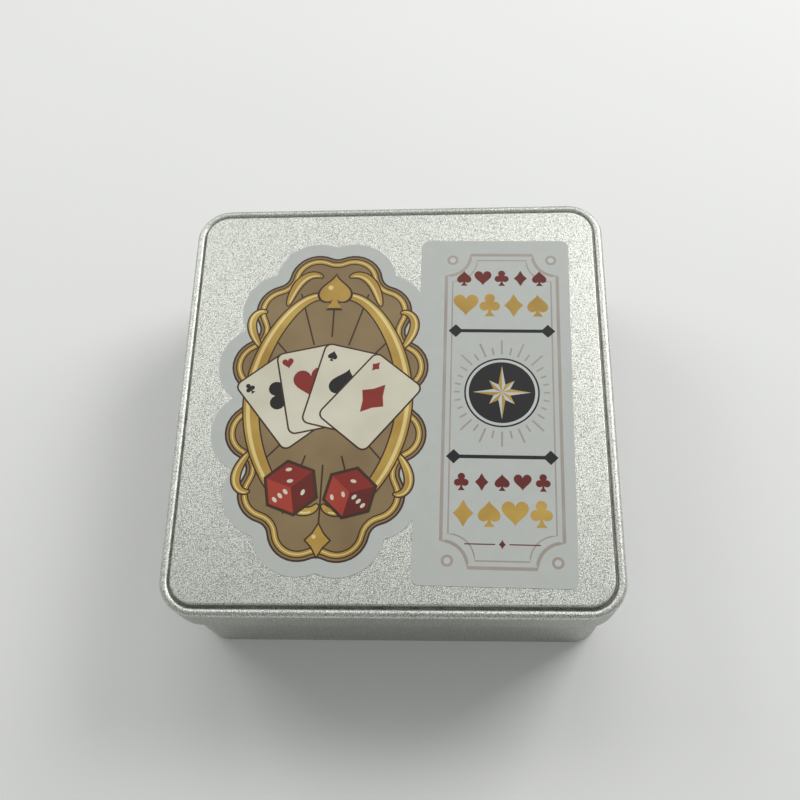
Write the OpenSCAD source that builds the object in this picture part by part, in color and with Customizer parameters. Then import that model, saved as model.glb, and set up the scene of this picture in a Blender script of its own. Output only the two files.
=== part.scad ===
// Square card game tin with a hinged lid, a thermoformed insert, a deck of cards
// and a folded leaflet. Millimetres, Z up, origin on the table under the middle of the tin.
// The front is at -Y and the hinge runs along X at the back.

/* [Tin] */
// Width of the closed tin, over the lid skirt
tin_w = 112; // [109:1:150]
// Depth of the closed tin from front to back, over the lid skirt
tin_d = 114; // [113:1:150]
// Height of the closed tin from the table to the lid panel
tin_h = 43; // [36:0.5:60]
// Corner radius of the lid skirt, seen from above
corner_r = 9.2; // [8:0.2:16]
// Thickness of the tinplate
sheet = 0.25; // [0.2:0.01:0.3]

/* [Lid] */
// Height of the lid, from the lower edge of the skirt to the panel
lid_h = 11.8; // [9:0.1:14]
// Outer radius of the rounded bead at the shoulder
bead_r = 1.15; // [0.9:0.05:1.4]
// Height of the panel above the top of the bead
panel_rise = 0.5; // [0.3:0.05:0.7]
// Depth of the groove below the panel
groove_depth = 1.1; // [0.9:0.05:1.3]
// Radius of the bottom of the groove
groove_r = 0.35; // [0.25:0.05:0.5]
// Radius of the edge of the panel
panel_edge_r = 0.6; // [0.4:0.05:0.8]
// Slope of the step between groove and panel, from the horizontal
step_angle = 60; // [45:1:75]
// Height of the flat hem folded up inside the skirt
hem_h = 1.8; // [1:0.1:3]

/* [Base] */
// Distance that the base wall is set in from the lid skirt
wall_inset = 1.6; // [1.5:0.05:2.4]
// Radius of the rolled rim of the base
rim_r = 0.65; // [0.5:0.05:0.9]
// Gap between the rim and the groove of the closed lid
lid_rest_gap = 0.3; // [0.2:0.05:0.6]
// Height of the hem that clinches the bottom panel
clinch_h = 1.9; // [1.4:0.1:3]
// Radius of the bend at the edge of the bottom panel
panel_bend_r = 0.6; // [0.5:0.05:0.8]
// Distance from the base wall to the pressed step of the bottom panel
bottom_step_at = 4.5; // [3:0.25:5]
// Height of the pressed step of the bottom panel
bottom_step_h = 0.6; // [0.3:0.1:1]
// Width of the lock seam in the back wall
seam_w = 4; // [3:0.5:6]
// Distance of the lock seam from the middle of the back wall
seam_at = 36; // [32:1:40]

/* [Hinge] */
// Diameter of the hinge wire
wire_d = 0.8; // [0.7:0.05:0.95]
// Running clearance between the wire and the rolled knuckles
wire_gap = 0.05; // [0.03:0.01:0.08]
// Length of one knuckle
knuckle_l = 9; // [6:0.5:12]
// Side gap between neighbouring knuckles
knuckle_gap = 0.4; // [0.3:0.05:0.8]
// Angle that the sheet is rolled round the wire
roll_angle = 285; // [240:5:300]
// Angle at which the skirt would touch the back wall
stop_angle = 108; // [100:1:115]
// Height of the notches in the skirt above the base knuckles
notch_clear = 0.6; // [0.4:0.05:1.5]

/* [Insert] */
// Thickness of the thermoformed sheet
tray_t = 0.5; // [0.4:0.05:0.8]
// Outer radius of the bend between the top and the outer wall of the insert
tray_edge_r = 1.2; // [0.8:0.1:1.2]
// Gap between the insert and the rolled rim
tray_gap = 0.4; // [0.3:0.05:1]
// Room between the top of the insert and the lid panel
headroom = 6.75; // [5.5:0.25:10]
// Gap round the cards in their well
card_gap = 0.8; // [0.5:0.1:1.5]
// Depth of the well for the leaflet
leaflet_well_h = 24; // [16:0.5:28]
// Width of the bridges beside and between the wells
bridge_w = 5.4; // [4:0.2:6]
// Radius of the finger reliefs at the ends of the card well
finger_r = 7; // [6:0.5:7.5]
// Width of the finger notch in the bridge between the wells
notch_w = 24; // [16:1:40]
// Depth of the finger notch
notch_h = 8; // [6:0.5:12]

/* [Cards] */
// Width of a card
card_w = 63; // [56:1:64]
// Length of a card
card_d = 88; // [80:1:89]
// Corner radius of a card
card_r = 3.5; // [2:0.5:5]
// Thickness of a card
card_t = 0.3; // [0.25:0.01:0.35]
// Number of cards in the deck
card_count = 55; // [20:1:60]
// Depth of the top card below the insert
card_below = 1.5; // [1:0.1:4]

/* [Leaflet] */
// Width of the folded leaflet
leaflet_w = 21; // [18:0.5:22]
// Length of the leaflet
leaflet_d = 84; // [70:1:86]
// Thickness of the paper
paper_t = 0.14; // [0.1:0.01:0.2]
// Number of folded panels
leaflet_panels = 6; // [4:1:8]
// Pitch of the folded panels
fold_pitch = 0.5; // [0.4:0.05:0.7]

/* [Label] */
// Thickness of the label
label_t = 0.18; // [0.1:0.01:0.3]
// Height of the label
label_h = 95; // [80:1:96]
// Width of the upright panel of the label
label_panel_w = 39.5; // [34:0.5:42]
// Distance of the right edge of the label from the middle of the tin
label_right = 45.5; // [40:0.5:46]
// Distance of the left edge of the label from the middle of the tin
label_left = 47; // [44:0.5:48]
// Corner radius of the upright panel
label_r = 2; // [1:0.5:4]
// Radius of one lobe of the scalloped part
lobe_r = 11.5; // [10:0.5:13]
// Number of lobes
lobe_count = 12; // [10:1:16]
// Width of the scalloped part
scallop_w = 60; // [54:1:64]
// Turn of the label on the lid, from square
label_turn = -1.2; // [-3:0.1:3]
// Shift of the label towards the front
label_shift = 1.8; // [0:0.1:3]

/* [Hidden] */
$fn = 64;

// Allowance for cuts that run past a face
past = 1;
// Air between flat faces of neighbouring pieces
seat = 0.02;
// Length of a rolled strip that is taken into the skirt
strip_root = 1;
// Flat width that a pressed section shares with the plate inside it
lap = 0.5;
// Flats along each arc of a pressed section
fold_steps = 4;
bead_steps = 8;
groove_steps = 5;
edge_steps = 4;

// Lid section, in distance from the skirt and height above the table
skirt_z = tin_h - lid_h;
bead_c = [bead_r, tin_h - panel_rise - bead_r];
groove_c_z = tin_h - groove_depth + groove_r;
bead_to_groove = asin((groove_c_z - bead_c.y) / (bead_r + groove_r));
groove_c = [bead_c.x + (bead_r + groove_r) * cos(bead_to_groove), groove_c_z];
panel_c_z = tin_h - panel_edge_r;
panel_c = [groove_c.x + (groove_r + panel_edge_r + (panel_c_z - groove_c_z) * cos(step_angle))
           / sin(step_angle), panel_c_z];

// Base section
base_w = tin_w - 2 * wall_inset;
base_d = tin_d - 2 * wall_inset;
base_r = corner_r - wall_inset;
back_y = base_d / 2;
rim_z = tin_h - groove_depth - sheet - lid_rest_gap;
clinch_slot = sheet + 2 * seat;
clinch_w = 2 * sheet + clinch_slot;
panel_at = sheet + seat;
floor_z = clinch_h + seat + sheet + panel_bend_r / 2;
step_r = bottom_step_h;
step_sweep = acos(1 - bottom_step_h / (2 * step_r));
step_end = bottom_step_at + 2 * step_r * sin(step_sweep);
raised_floor_z = floor_z + bottom_step_h;

// Hinge: the wire lies inside the skirt, and the skirt reaches below it just far enough
// to meet the back wall at the stop angle
roll_in = wire_d / 2 + wire_gap;
roll_out = roll_in + sheet;
hinge_y = tin_d / 2 - roll_out;
wall_reach = hinge_y - back_y;
skirt_below = (wall_reach + roll_out * cos(stop_angle)) / sin(stop_angle);
hinge_z = skirt_z + skirt_below;
knuckle_pitch = knuckle_l + knuckle_gap;
base_knuckles = [-2 * knuckle_pitch, 0, 2 * knuckle_pitch];
lid_knuckles = [-knuckle_pitch, knuckle_pitch];
hinge_l = 4 * knuckle_pitch + knuckle_l;
wire_l = hinge_l + knuckle_gap;
end_gap = 2 * knuckle_gap;
tongue_bend_r = 0.15;
tongue_root_z = hinge_z - roll_out - tongue_bend_r;
window_h = PI / 180 * (90 * (tongue_bend_r + sheet / 2) + roll_angle * (roll_in + sheet / 2))
           + wall_reach - tongue_bend_r;
notch_z = max(hinge_z + roll_out + notch_clear, skirt_z + hem_h + seat);

// Insert
tray_w = base_w - 4 * rim_r - 2 * tray_gap;
tray_d = base_d - 4 * rim_r - 2 * tray_gap;
tray_r = base_r - 2 * rim_r - tray_gap;
tray_z = tin_h - sheet - headroom;
tray_foot_z = floor_z + seat;
card_pitch = card_t + seat;
card_well_w = card_w + 2 * card_gap;
card_well_d = card_d + 2 * card_gap;
card_floor_z = tray_z - card_below - card_count * card_pitch;
card_well_x = -tray_w / 2 + bridge_w + card_well_w / 2;
leaflet_well_w = tray_w - 3 * bridge_w - card_well_w;
// The bend at the edge has only the room that the finger reliefs leave
tray_bend_r = min(tray_edge_r, (tray_d - card_well_d) / 2 - finger_r - tray_t);
leaflet_well_x = tray_w / 2 - bridge_w - leaflet_well_w / 2;
leaflet_floor_z = tray_z - leaflet_well_h;
well_r = card_r + card_gap;
notch_x = card_well_x + card_well_w / 2 + bridge_w / 2;

// Label
label_panel_x = label_right - label_panel_w / 2;
scallop_rx = scallop_w / 2 - lobe_r;
scallop_ry = label_h / 2 - lobe_r;
scallop_x = scallop_w / 2 - label_left;

// Flat shapes

// Wedge from one angle to another, wide enough to cut a circle of radius r
module wedge(r, from, to) {
    steps = ceil((to - from) / 60);
    polygon([[0, 0], for (i = [0 : steps]) let (a = from + (to - from) * i / steps)
             3 * r * [cos(a), sin(a)]]);
}

// Bent strip of sheet round a centre
module bend(centre, r_out, t, from, to) {
    translate(centre) intersection() {
        // The circles start in the open part of the bend, so that no edge is split there
        rotate((from + to) / 2 + 180) difference() {
            circle(r_out);
            circle(r_out - t);
        }
        wedge(r_out, from, to);
    }
}

// Upright rectangle between two corners
module block(low, high) {
    translate(low) square(high - low);
}

// Rectangle with round corners, centred
module rounded(w, d, r) {
    square([w - 2 * r, d], center = true);
    square([w, d - 2 * r], center = true);
    for (x = [-1, 1], y = [-1, 1])
        translate([x * (w / 2 - r), y * (d / 2 - r)]) circle(r);
}

// Solids

// Sweeps a section round a rectangle with round corners. The section's x is the distance
// in from the outline and its y is the height.
module around(w, d, r) {
    for (turn = [0, 180]) {
        rotate(turn) translate([w / 2, 0, 0]) rotate([90, 0, 0])
            linear_extrude(d - 2 * r, center = true) mirror([1, 0]) children();
        rotate(turn + 90) translate([d / 2, 0, 0]) rotate([90, 0, 0])
            linear_extrude(w - 2 * r, center = true) mirror([1, 0]) children();
    }
    for (x = [0, 1], y = [0, 1])
        mirror([x, 0, 0]) mirror([0, y, 0]) translate([w / 2 - r, d / 2 - r, 0])
            rotate_extrude(angle = 90) translate([r, 0]) mirror([1, 0]) children();
}

// Extrudes a plan between two heights
module plate(low, high) {
    translate([0, 0, low]) linear_extrude(high - low) children();
}

// Extrudes a section in Y and Z along X, centred on a place in X
module along_x(x, l) {
    translate([x, 0, 0]) rotate([90, 0, 90]) linear_extrude(l, center = true) children();
}

// Box that spans a length centred in X, and two ranges in Y and Z
module slab(x, l, y, z) {
    translate([x - l / 2, y[0], z[0]]) cube([l, y[1] - y[0], z[1] - z[0]]);
}

// Sections

// Points along an arc
function arc(centre, r, from, to, steps) =
    [for (i = [0 : steps]) let (a = from + (to - from) * i / steps) centre + r * [cos(a), sin(a)]];

// Outer side of the sheet from the folded hem up to the panel, then back along its inner side
module lid_section() {
    step_from = 180 + bead_to_groove;
    step_to = 270 + step_angle;
    polygon(concat(
        [[2 * sheet, skirt_z + hem_h]],
        arc([sheet, skirt_z + sheet], sheet, 0, -180, fold_steps),
        arc(bead_c, bead_r, 180, bead_to_groove, bead_steps),
        arc(groove_c, groove_r, step_from, step_to, groove_steps),
        arc(panel_c, panel_edge_r, 90 + step_angle, 90, edge_steps),
        [[panel_c.x + lap, tin_h], [panel_c.x + lap, tin_h - sheet]],
        arc(panel_c, panel_edge_r - sheet, 90, 90 + step_angle, edge_steps),
        arc(groove_c, groove_r + sheet, step_to, step_from, groove_steps),
        arc(bead_c, bead_r - sheet, bead_to_groove, 180, bead_steps),
        [[sheet, skirt_z + hem_h]]
    ));
}

module wall_section() {
    // Hem that clinches the bottom panel
    bend([sheet, sheet], sheet, sheet, 180, 270);
    bend([clinch_w - sheet, sheet], sheet, sheet, 270, 360);
    block([sheet, 0], [clinch_w - sheet, sheet]);
    block([clinch_w - sheet, sheet], [clinch_w, clinch_h]);
    // Wall and rolled rim
    block([0, sheet], [sheet, rim_z - rim_r]);
    bend([rim_r, rim_z - rim_r], rim_r, sheet, 180 - roll_angle, 180);
}

// Upper side of the bottom panel from its flange to the raised middle, then back underneath
module panel_section() {
    edge_c = [panel_at + panel_bend_r, floor_z - panel_bend_r];
    low_c = [bottom_step_at, floor_z + step_r - sheet / 2];
    high_c = [step_end, raised_floor_z - step_r - sheet / 2];
    outer = step_r + sheet / 2;
    inner = step_r - sheet / 2;
    polygon(concat(
        [[panel_at, sheet + seat]],
        arc(edge_c, panel_bend_r, 180, 90, edge_steps),
        arc(low_c, inner, 270, 270 + step_sweep, edge_steps),
        arc(high_c, outer, 90 + step_sweep, 90, edge_steps),
        [[step_end + lap, raised_floor_z], [step_end + lap, raised_floor_z - sheet]],
        arc(high_c, inner, 90, 90 + step_sweep, edge_steps),
        arc(low_c, outer, 270 + step_sweep, 270, edge_steps),
        arc(edge_c, panel_bend_r - sheet, 90, 180, edge_steps),
        [[panel_at + sheet, sheet + seat]]
    ));
}

// Outer wall of the insert and the bend at its upper edge
module tray_edge_section() {
    bend_c = [tray_bend_r, tray_z - tray_bend_r];
    polygon(concat(
        [[0, tray_foot_z]],
        arc(bend_c, tray_bend_r, 180, 90, edge_steps),
        [[tray_bend_r + lap, tray_z], [tray_bend_r + lap, tray_z - tray_t]],
        arc(bend_c, tray_bend_r - tray_t, 90, 180, edge_steps),
        [[tray_t, tray_foot_z]]
    ));
}

// Strip of the skirt rolled inwards round the wire, in Y and Z
module lid_roll_section() {
    bend([hinge_y, hinge_z], roll_out, sheet, -roll_angle, 0);
    block([hinge_y + roll_in, hinge_z], [tin_d / 2, notch_z + strip_root]);
}

// Tongue lanced from the back wall, bent outwards and rolled round the wire
module base_roll_section() {
    bend([back_y + tongue_bend_r, tongue_root_z], tongue_bend_r + sheet, sheet, 90, 180);
    block([back_y + tongue_bend_r, hinge_z - roll_out], [hinge_y, hinge_z - roll_in]);
    bend([hinge_y, hinge_z], roll_out, sheet, -90, roll_angle - 90);
}

// Pieces

module lid_shell() {
    plate_at = panel_c.x + lap / 2;
    color("gainsboro") {
        difference() {
            union() {
                around(tin_w, tin_d, corner_r) lid_section();
                plate(tin_h - sheet, tin_h)
                    rounded(tin_w - 2 * plate_at, tin_d - 2 * plate_at, corner_r - plate_at);
            }
            hinge_cut();
        }
        for (x = lid_knuckles)
            along_x(x, knuckle_l) lid_roll_section();
    }
}

// Skirt and hem cut away along the hinge, before the rolled strips are put in
module hinge_cut() {
    slab(0, hinge_l + 2 * end_gap, [tin_d / 2 - 2 * sheet - past, tin_d / 2 + past],
         [skirt_z - past, notch_z]);
}

module base_wall() {
    color("silver") {
        difference() {
            union() {
                around(base_w, base_d, base_r) wall_section();
                slab(seam_at, seam_w, [back_y - 2 * sheet, back_y - sheet / 2],
                     [clinch_h + 2 * sheet + panel_bend_r, rim_z - 2 * rim_r - sheet]);
            }
            for (x = base_knuckles)
                slab(x, knuckle_l, [back_y - 2 * sheet, back_y + past],
                     [tongue_root_z, tongue_root_z + window_h]);
            // Folded edge of the lock seam
            slab(seam_at - seam_w / 2, sheet, [back_y - sheet / 2, back_y + past],
                 [2 * sheet, rim_z - 2 * rim_r - sheet]);
        }
        for (x = base_knuckles)
            along_x(x, knuckle_l) base_roll_section();
    }
}

module base_panel() {
    plate_at = step_end + lap / 2;
    color("lightgray") {
        around(base_w, base_d, base_r) panel_section();
        plate(raised_floor_z - sheet, raised_floor_z)
            rounded(base_w - 2 * plate_at, base_d - 2 * plate_at, base_r - plate_at);
    }
}

module hinge_wire() {
    color("dimgray") translate([0, hinge_y, hinge_z]) rotate([0, 90, 0])
        cylinder(h = wire_l, d = wire_d, center = true);
}

// Outlines of the wells, grown by the thickness of the sheet for their outside
module card_well(grow) {
    translate([card_well_x, 0]) {
        rounded(card_well_w + 2 * grow, card_well_d + 2 * grow, well_r + grow);
        for (y = [-1, 1]) translate([0, y * card_well_d / 2]) circle(finger_r + grow);
    }
}

module leaflet_well(grow) {
    translate([leaflet_well_x, 0])
        rounded(leaflet_well_w + 2 * grow, card_well_d + 2 * grow, well_r + grow);
}

module finger_notch(grow) {
    translate([notch_x, 0])
        square([bridge_w + 2 * well_r, notch_w + 2 * grow], center = true);
}

module insert_tray() {
    plate_at = tray_bend_r + lap / 2;
    color("dimgray") difference() {
        union() {
            around(tray_w, tray_d, tray_r) tray_edge_section();
            plate(tray_z - tray_t, tray_z)
                rounded(tray_w - 2 * plate_at, tray_d - 2 * plate_at, tray_r - plate_at);
            plate(card_floor_z - tray_t, tray_z) card_well(tray_t);
            plate(leaflet_floor_z - tray_t, tray_z) leaflet_well(tray_t);
            plate(tray_z - notch_h - tray_t, tray_z) finger_notch(tray_t);
        }
        plate(card_floor_z, tray_z + past) card_well(0);
        plate(leaflet_floor_z, tray_z + past) leaflet_well(0);
        plate(tray_z - notch_h, tray_z + past) finger_notch(0);
    }
}

module card_deck() {
    color("ivory") for (i = [0 : card_count - 1])
        translate([card_well_x, 0, card_floor_z + seat + i * card_pitch])
            linear_extrude(card_t) rounded(card_w, card_d, card_r);
}

// Concertina section: flat panels joined by round folds at alternate sides
module rules_leaflet() {
    fold_r = (fold_pitch + paper_t) / 2;
    reach = leaflet_w / 2 - fold_r;
    color("whitesmoke")
        translate([leaflet_well_x, 0, leaflet_floor_z + seat]) rotate([90, 0, 0])
            linear_extrude(leaflet_d, center = true)
                for (i = [0 : leaflet_panels - 1]) {
                    side = i % 2 == 0 ? 1 : -1;
                    block([-reach, i * fold_pitch], [reach, i * fold_pitch + paper_t]);
                    if (i < leaflet_panels - 1)
                        to_side(side) bend([reach, i * fold_pitch + fold_r], fold_r, paper_t,
                                           -90, 90);
                }
}

module to_side(side) {
    mirror([side < 0 ? 1 : 0, 0]) children();
}

module lid_label() {
    color("lightgray")
        translate([0, -label_shift, tin_h]) rotate(label_turn) linear_extrude(label_t) {
            translate([label_panel_x, 0]) rounded(label_panel_w, label_h, label_r);
            translate([scallop_x, 0]) {
                lobes = [for (i = [0 : lobe_count - 1]) let (a = 360 * (i + 0.5) / lobe_count)
                         [scallop_rx * cos(a), scallop_ry * sin(a)]];
                polygon(lobes);
                for (lobe = lobes) translate(lobe) circle(lobe_r);
            }
        }
}

base_wall();
base_panel();
hinge_wire();
insert_tray();
card_deck();
rules_leaflet();
lid_shell();
lid_label();
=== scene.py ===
# %% [markdown]
# A hinged tin for a card game, seen closed from above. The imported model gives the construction
# and the places of all pieces. This lesson builds the visible skin around it: pressed tinplate
# with a sand-textured lacquer, a printed paper label, a black thermoformed insert, a deck of
# cards and a folded leaflet. Each step first says what the real piece is and then makes it.

# %% Load the frame
import math
import random

import bmesh
import bpy
from mathutils import Matrix, Quaternion, Vector
from mathutils.geometry import tessellate_polygon


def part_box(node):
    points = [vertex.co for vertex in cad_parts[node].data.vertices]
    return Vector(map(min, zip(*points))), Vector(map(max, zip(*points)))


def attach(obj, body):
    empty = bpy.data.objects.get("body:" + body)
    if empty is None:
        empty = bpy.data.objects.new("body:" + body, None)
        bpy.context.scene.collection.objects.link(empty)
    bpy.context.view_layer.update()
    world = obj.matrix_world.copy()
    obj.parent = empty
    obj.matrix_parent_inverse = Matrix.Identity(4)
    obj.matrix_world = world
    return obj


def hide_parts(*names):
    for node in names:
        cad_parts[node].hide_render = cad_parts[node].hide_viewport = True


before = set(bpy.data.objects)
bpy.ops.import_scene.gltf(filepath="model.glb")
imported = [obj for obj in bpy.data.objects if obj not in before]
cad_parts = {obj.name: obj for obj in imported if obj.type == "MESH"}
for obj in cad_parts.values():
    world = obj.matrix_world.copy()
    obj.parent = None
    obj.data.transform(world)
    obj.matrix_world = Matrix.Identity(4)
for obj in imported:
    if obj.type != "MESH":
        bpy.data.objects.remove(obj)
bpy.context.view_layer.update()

# %% [markdown]
# Tinplate work is drawn in millimetres, so the sections below are written in millimetres and
# turned into metres when a mesh is made. The overall sizes come from the boxes of the packed
# nodes, and only the small press radii, which no box can tell, are written here.

# %% Sizes from the frame
MM = 0.001


def box_mm(node):
    """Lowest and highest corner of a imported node, in millimetres."""
    low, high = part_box(node)
    return low / MM, high / MM


lid_low, lid_high = box_mm("lid_shell")
wall_low, wall_high = box_mm("base_wall")
floor_top = box_mm("base_panel")[1].z
tray_low, tray_high = box_mm("insert_tray")
deck_low, deck_high = box_mm("card_deck")
label_top = box_mm("lid_label")[1].z
wire_low, wire_high = box_mm("hinge_wire")

tin_w = lid_high.x - lid_low.x
tin_d = lid_high.y - lid_low.y
tin_h = lid_high.z
skirt_z = lid_low.z
base_w = wall_high.x - wall_low.x
base_d = -2 * wall_low.y
rim_z = wall_high.z
print("tin", round(tin_w, 2), round(tin_d, 2), round(tin_h, 2), "base", round(base_w, 2), round(base_d, 2))

# %% Press radii of the lid
sheet = 0.25          # thickness of the tinplate
corner_r = 9.2        # corners of the tin, seen from above
bead_r = 1.15         # shoulder bead
panel_rise = 0.5      # how far the panel stands over the bead
groove_depth = 1.15   # from the panel down to the groove
groove_r = 0.25
panel_edge_r = 0.45
step_angle = 74       # slant of the step up to the panel, in degrees
hem_h = 1.8           # height of the edge folded up inside the skirt
lap = 0.5             # flat part of a plate that is drawn with its edge
print("bead", bead_r, "groove", groove_r, "panel edge", panel_edge_r)

# %% Press radii of the base
wall_inset = (tin_w - base_w) / 2
base_r = corner_r - wall_inset
rim_r = 0.65          # rolled upper edge of the wall
roll_angle = 285      # how far a rolled edge goes round, in degrees
clinch_h = 1.9        # height of the edge folded in over the bottom panel
seat = 0.02           # gap between sheets that lie on each other
clinch_w = 3 * sheet + 2 * seat
panel_at = sheet + seat
panel_bend_r = 0.6
bottom_step_at = 4.5  # from the wall to the raised middle of the bottom
bottom_step_h = floor_top - (clinch_h + seat + sheet + panel_bend_r / 2)
print("inset", round(wall_inset, 2), "step of the bottom", round(bottom_step_h, 2))

# %% Sizes of the hinge
wire_r = (wire_high.z - wire_low.z) / 2
wire_play = 0.05      # room between the wire and a knuckle
roll_in = wire_r + wire_play
roll_out = roll_in + sheet
hinge_y = (wire_low.y + wire_high.y) / 2
hinge_z = (wire_low.z + wire_high.z) / 2
knuckle_l = 9.0
knuckle_gap = 0.4
knuckle_pitch = knuckle_l + knuckle_gap
tongue_bend_r = 0.15
notch_room = 0.6      # from the knuckles up to the edge of the cut-away hem
notch_z = max(hinge_z + roll_out + notch_room, skirt_z + hem_h + seat)
print("hinge at", round(hinge_y, 3), round(hinge_z, 3))

# %% [markdown]
# A press tool leaves arcs, and an arc is a formula: a centre, a radius and two angles. One
# function gives the points of an arc for sections and outlines alike. An outline also needs the
# direction that points away from it at each point, because a lid, a well or a label margin is
# the same outline moved in or out. A wide bend that shows in a highlight gets more steps.

# %% Arcs and outlines
bend_steps, hem_steps, groove_steps = 6, 8, 10
bead_steps, rim_steps, roll_steps = 20, 30, 40


def arc(centre, radius, start, end, steps):
    """Points along an arc, from one angle to another in degrees."""
    angles = [math.radians(start + (end - start) * i / steps) for i in range(steps + 1)]
    return [(centre[0] + radius * math.cos(a), centre[1] + radius * math.sin(a)) for a in angles]


def turn(centre, radius, start, end, steps=6):
    """Points of an outline along an arc, each with its outward direction. Clockwise arcs are hollow."""
    side = 1 if end > start else -1
    points = []
    for i in range(steps + 1):
        a = math.radians(start + (end - start) * i / steps)
        way = Vector((math.cos(a), math.sin(a)))
        points.append((Vector(centre) + radius * way, side * way))
    return points


def rounded_outline(width, depth, radius, steps=16, centre=(0, 0)):
    """Outline of a rectangle with round corners, anticlockwise."""
    x, y = width / 2 - radius, depth / 2 - radius
    corners = [(x, y), (-x, y), (-x, -y), (x, -y)]
    return [p for i, (cx, cy) in enumerate(corners)
            for p in turn((centre[0] + cx, centre[1] + cy), radius, 90 * i, 90 * i + 90, steps)]


def grown(outline, by):
    """The points of an outline moved outwards, or inwards if by is negative."""
    return [p + way * by for p, way in outline]


print("outline points", len(rounded_outline(tin_w, tin_d, corner_r)))

# %% [markdown]
# Lid and base are pressed from sheet: one section runs all the way round a rectangle with round
# corners, and a flat plate closes the middle. They could be cut from a solid with booleans or
# thickened with a Solidify modifier, but carrying the section round the outline by hand keeps
# the sheet evenly thick through every bend and gives clean strips of quads, which matter here
# because a row of facets would show in the highlight along the bead.

# %% Mesh helpers
OUTSIDE, INSIDE = 0, 1


def carried_round(bm, outline, first, second, closed):
    """Sweeps a section, in distance from the outline and height, round the outline. Gives its rings.

    The section comes in two runs of points. The strips of the second run are the inside of the tin.
    """
    section = first + second
    rings = [[bm.verts.new((*(p - way * inset), z)) for inset, z in section] for p, way in outline]
    last = len(section) if closed else len(section) - 1
    for i, ring in enumerate(rings):
        following = rings[(i + 1) % len(rings)]
        for k in range(last):
            n = (k + 1) % len(section)
            strip = bm.faces.new((ring[k], following[k], following[n], ring[n]))
            strip.material_index = INSIDE if k >= len(first) else OUTSIDE
    return rings


def pressed_mesh(outline, outer, inner):
    """Closed mesh of a pressed sheet: a section open at the middle, and the plate on both its sides."""
    bm = bmesh.new()
    rings = carried_round(bm, outline, outer, inner, closed=False)
    bm.faces.new([ring[0] for ring in rings]).material_index = OUTSIDE
    bm.faces.new([ring[-1] for ring in reversed(rings)]).material_index = INSIDE
    return bm


def ring_mesh(outline, outer, inner):
    """Closed mesh of a ring with a closed section."""
    bm = bmesh.new()
    carried_round(bm, outline, outer, inner, closed=True)
    return bm


def strip_mesh(section, x, length):
    """Closed mesh of a section in Y and Z, extruded along X."""
    bm = bmesh.new()
    ends = [[bm.verts.new((x + side * length / 2, *p)) for p in section] for side in (-1, 1)]
    for k in range(len(section)):
        n = (k + 1) % len(section)
        bm.faces.new((ends[0][k], ends[0][n], ends[1][n], ends[1][k]))
    bm.faces.new(ends[0])
    bm.faces.new(reversed(ends[1]))
    return bm


def slab_mesh(x, length, ys, zs):
    """Closed box centred at x, between two values of y and of z."""
    (y0, y1), (z0, z1) = ys, zs
    return strip_mesh([(y0, z0), (y1, z0), (y1, z1), (y0, z1)], x, length)


def in_scene(name, bm):
    """A mesh object in millimetres from a bmesh, with its faces turned outwards."""
    bmesh.ops.recalc_face_normals(bm, faces=bm.faces)
    mesh = bpy.data.meshes.new(name)
    bm.to_mesh(mesh)
    bm.free()
    piece = bpy.data.objects.new(name, mesh)
    bpy.context.scene.collection.objects.link(piece)
    return piece


def apply_modifiers(piece):
    """Writes what the modifiers make into the mesh itself."""
    bpy.context.view_layer.update()
    graph = bpy.context.evaluated_depsgraph_get()
    mesh = bpy.data.meshes.new_from_object(piece.evaluated_get(graph))
    piece.modifiers.clear()
    piece.data = mesh


def combine(piece, tool_bm, operation):
    """Adds a shape to a piece or takes it away, with an exact boolean."""
    tool = in_scene("tool", tool_bm)
    modifier = piece.modifiers.new("combine", "BOOLEAN")
    modifier.operation = operation
    modifier.solver = "EXACT"
    modifier.object = tool
    apply_modifiers(piece)
    bpy.data.objects.remove(tool)


def shaded(piece, sharp_from=35):
    """Smooth shading that keeps flats flat and edges sharp."""
    piece.data.shade_smooth()
    piece.data.set_sharp_from_angle(angle=math.radians(sharp_from))
    modifier = piece.modifiers.new("normals", "WEIGHTED_NORMAL")
    modifier.keep_sharp = True


def to_metres(piece):
    """Ends the work in millimetres."""
    piece.data.transform(Matrix.Scale(MM, 4))


# %% [markdown]
# The lid starts as a flat blank. The press draws the skirt down, rolls the shoulder into a bead,
# sinks a groove behind it and lifts the panel, and then the raw edge is folded up inside as a
# hem. The section below walks over the outer side from the panel down to the hem and back up the
# inner side, a sheet's thickness apart.

# %% Lid section
bead_c = (bead_r, tin_h - panel_rise - bead_r)
groove_z = tin_h - groove_depth + groove_r
bead_to_groove = math.degrees(math.asin((groove_z - bead_c[1]) / (bead_r + groove_r)))
groove_c = (bead_c[0] + (bead_r + groove_r) * math.cos(math.radians(bead_to_groove)), groove_z)
panel_z = tin_h - panel_edge_r
slope = math.radians(step_angle)
step_run = (groove_r + panel_edge_r + (panel_z - groove_z) * math.cos(slope)) / math.sin(slope)
panel_c = (groove_c[0] + step_run, panel_z)


def lid_side(inside):
    """Points from the panel to the skirt along one side of the sheet."""
    t = sheet if inside else 0
    return ([(panel_c[0] + lap, tin_h - t)]
            + arc(panel_c, panel_edge_r - t, 90, 90 + step_angle, bend_steps)
            + arc(groove_c, groove_r + t, 270 + step_angle, 180 + bead_to_groove, groove_steps)
            + arc(bead_c, bead_r - t, bead_to_groove, 180, bead_steps))


lid_hem = (arc((sheet, skirt_z + sheet), sheet, -180, 0, hem_steps)
           + [(2 * sheet, skirt_z + hem_h), (sheet, skirt_z + hem_h)])
lid_outer, lid_inner = lid_side(False) + lid_hem, lid_side(True)[::-1]
print("lid section points", len(lid_outer), len(lid_inner))

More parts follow.
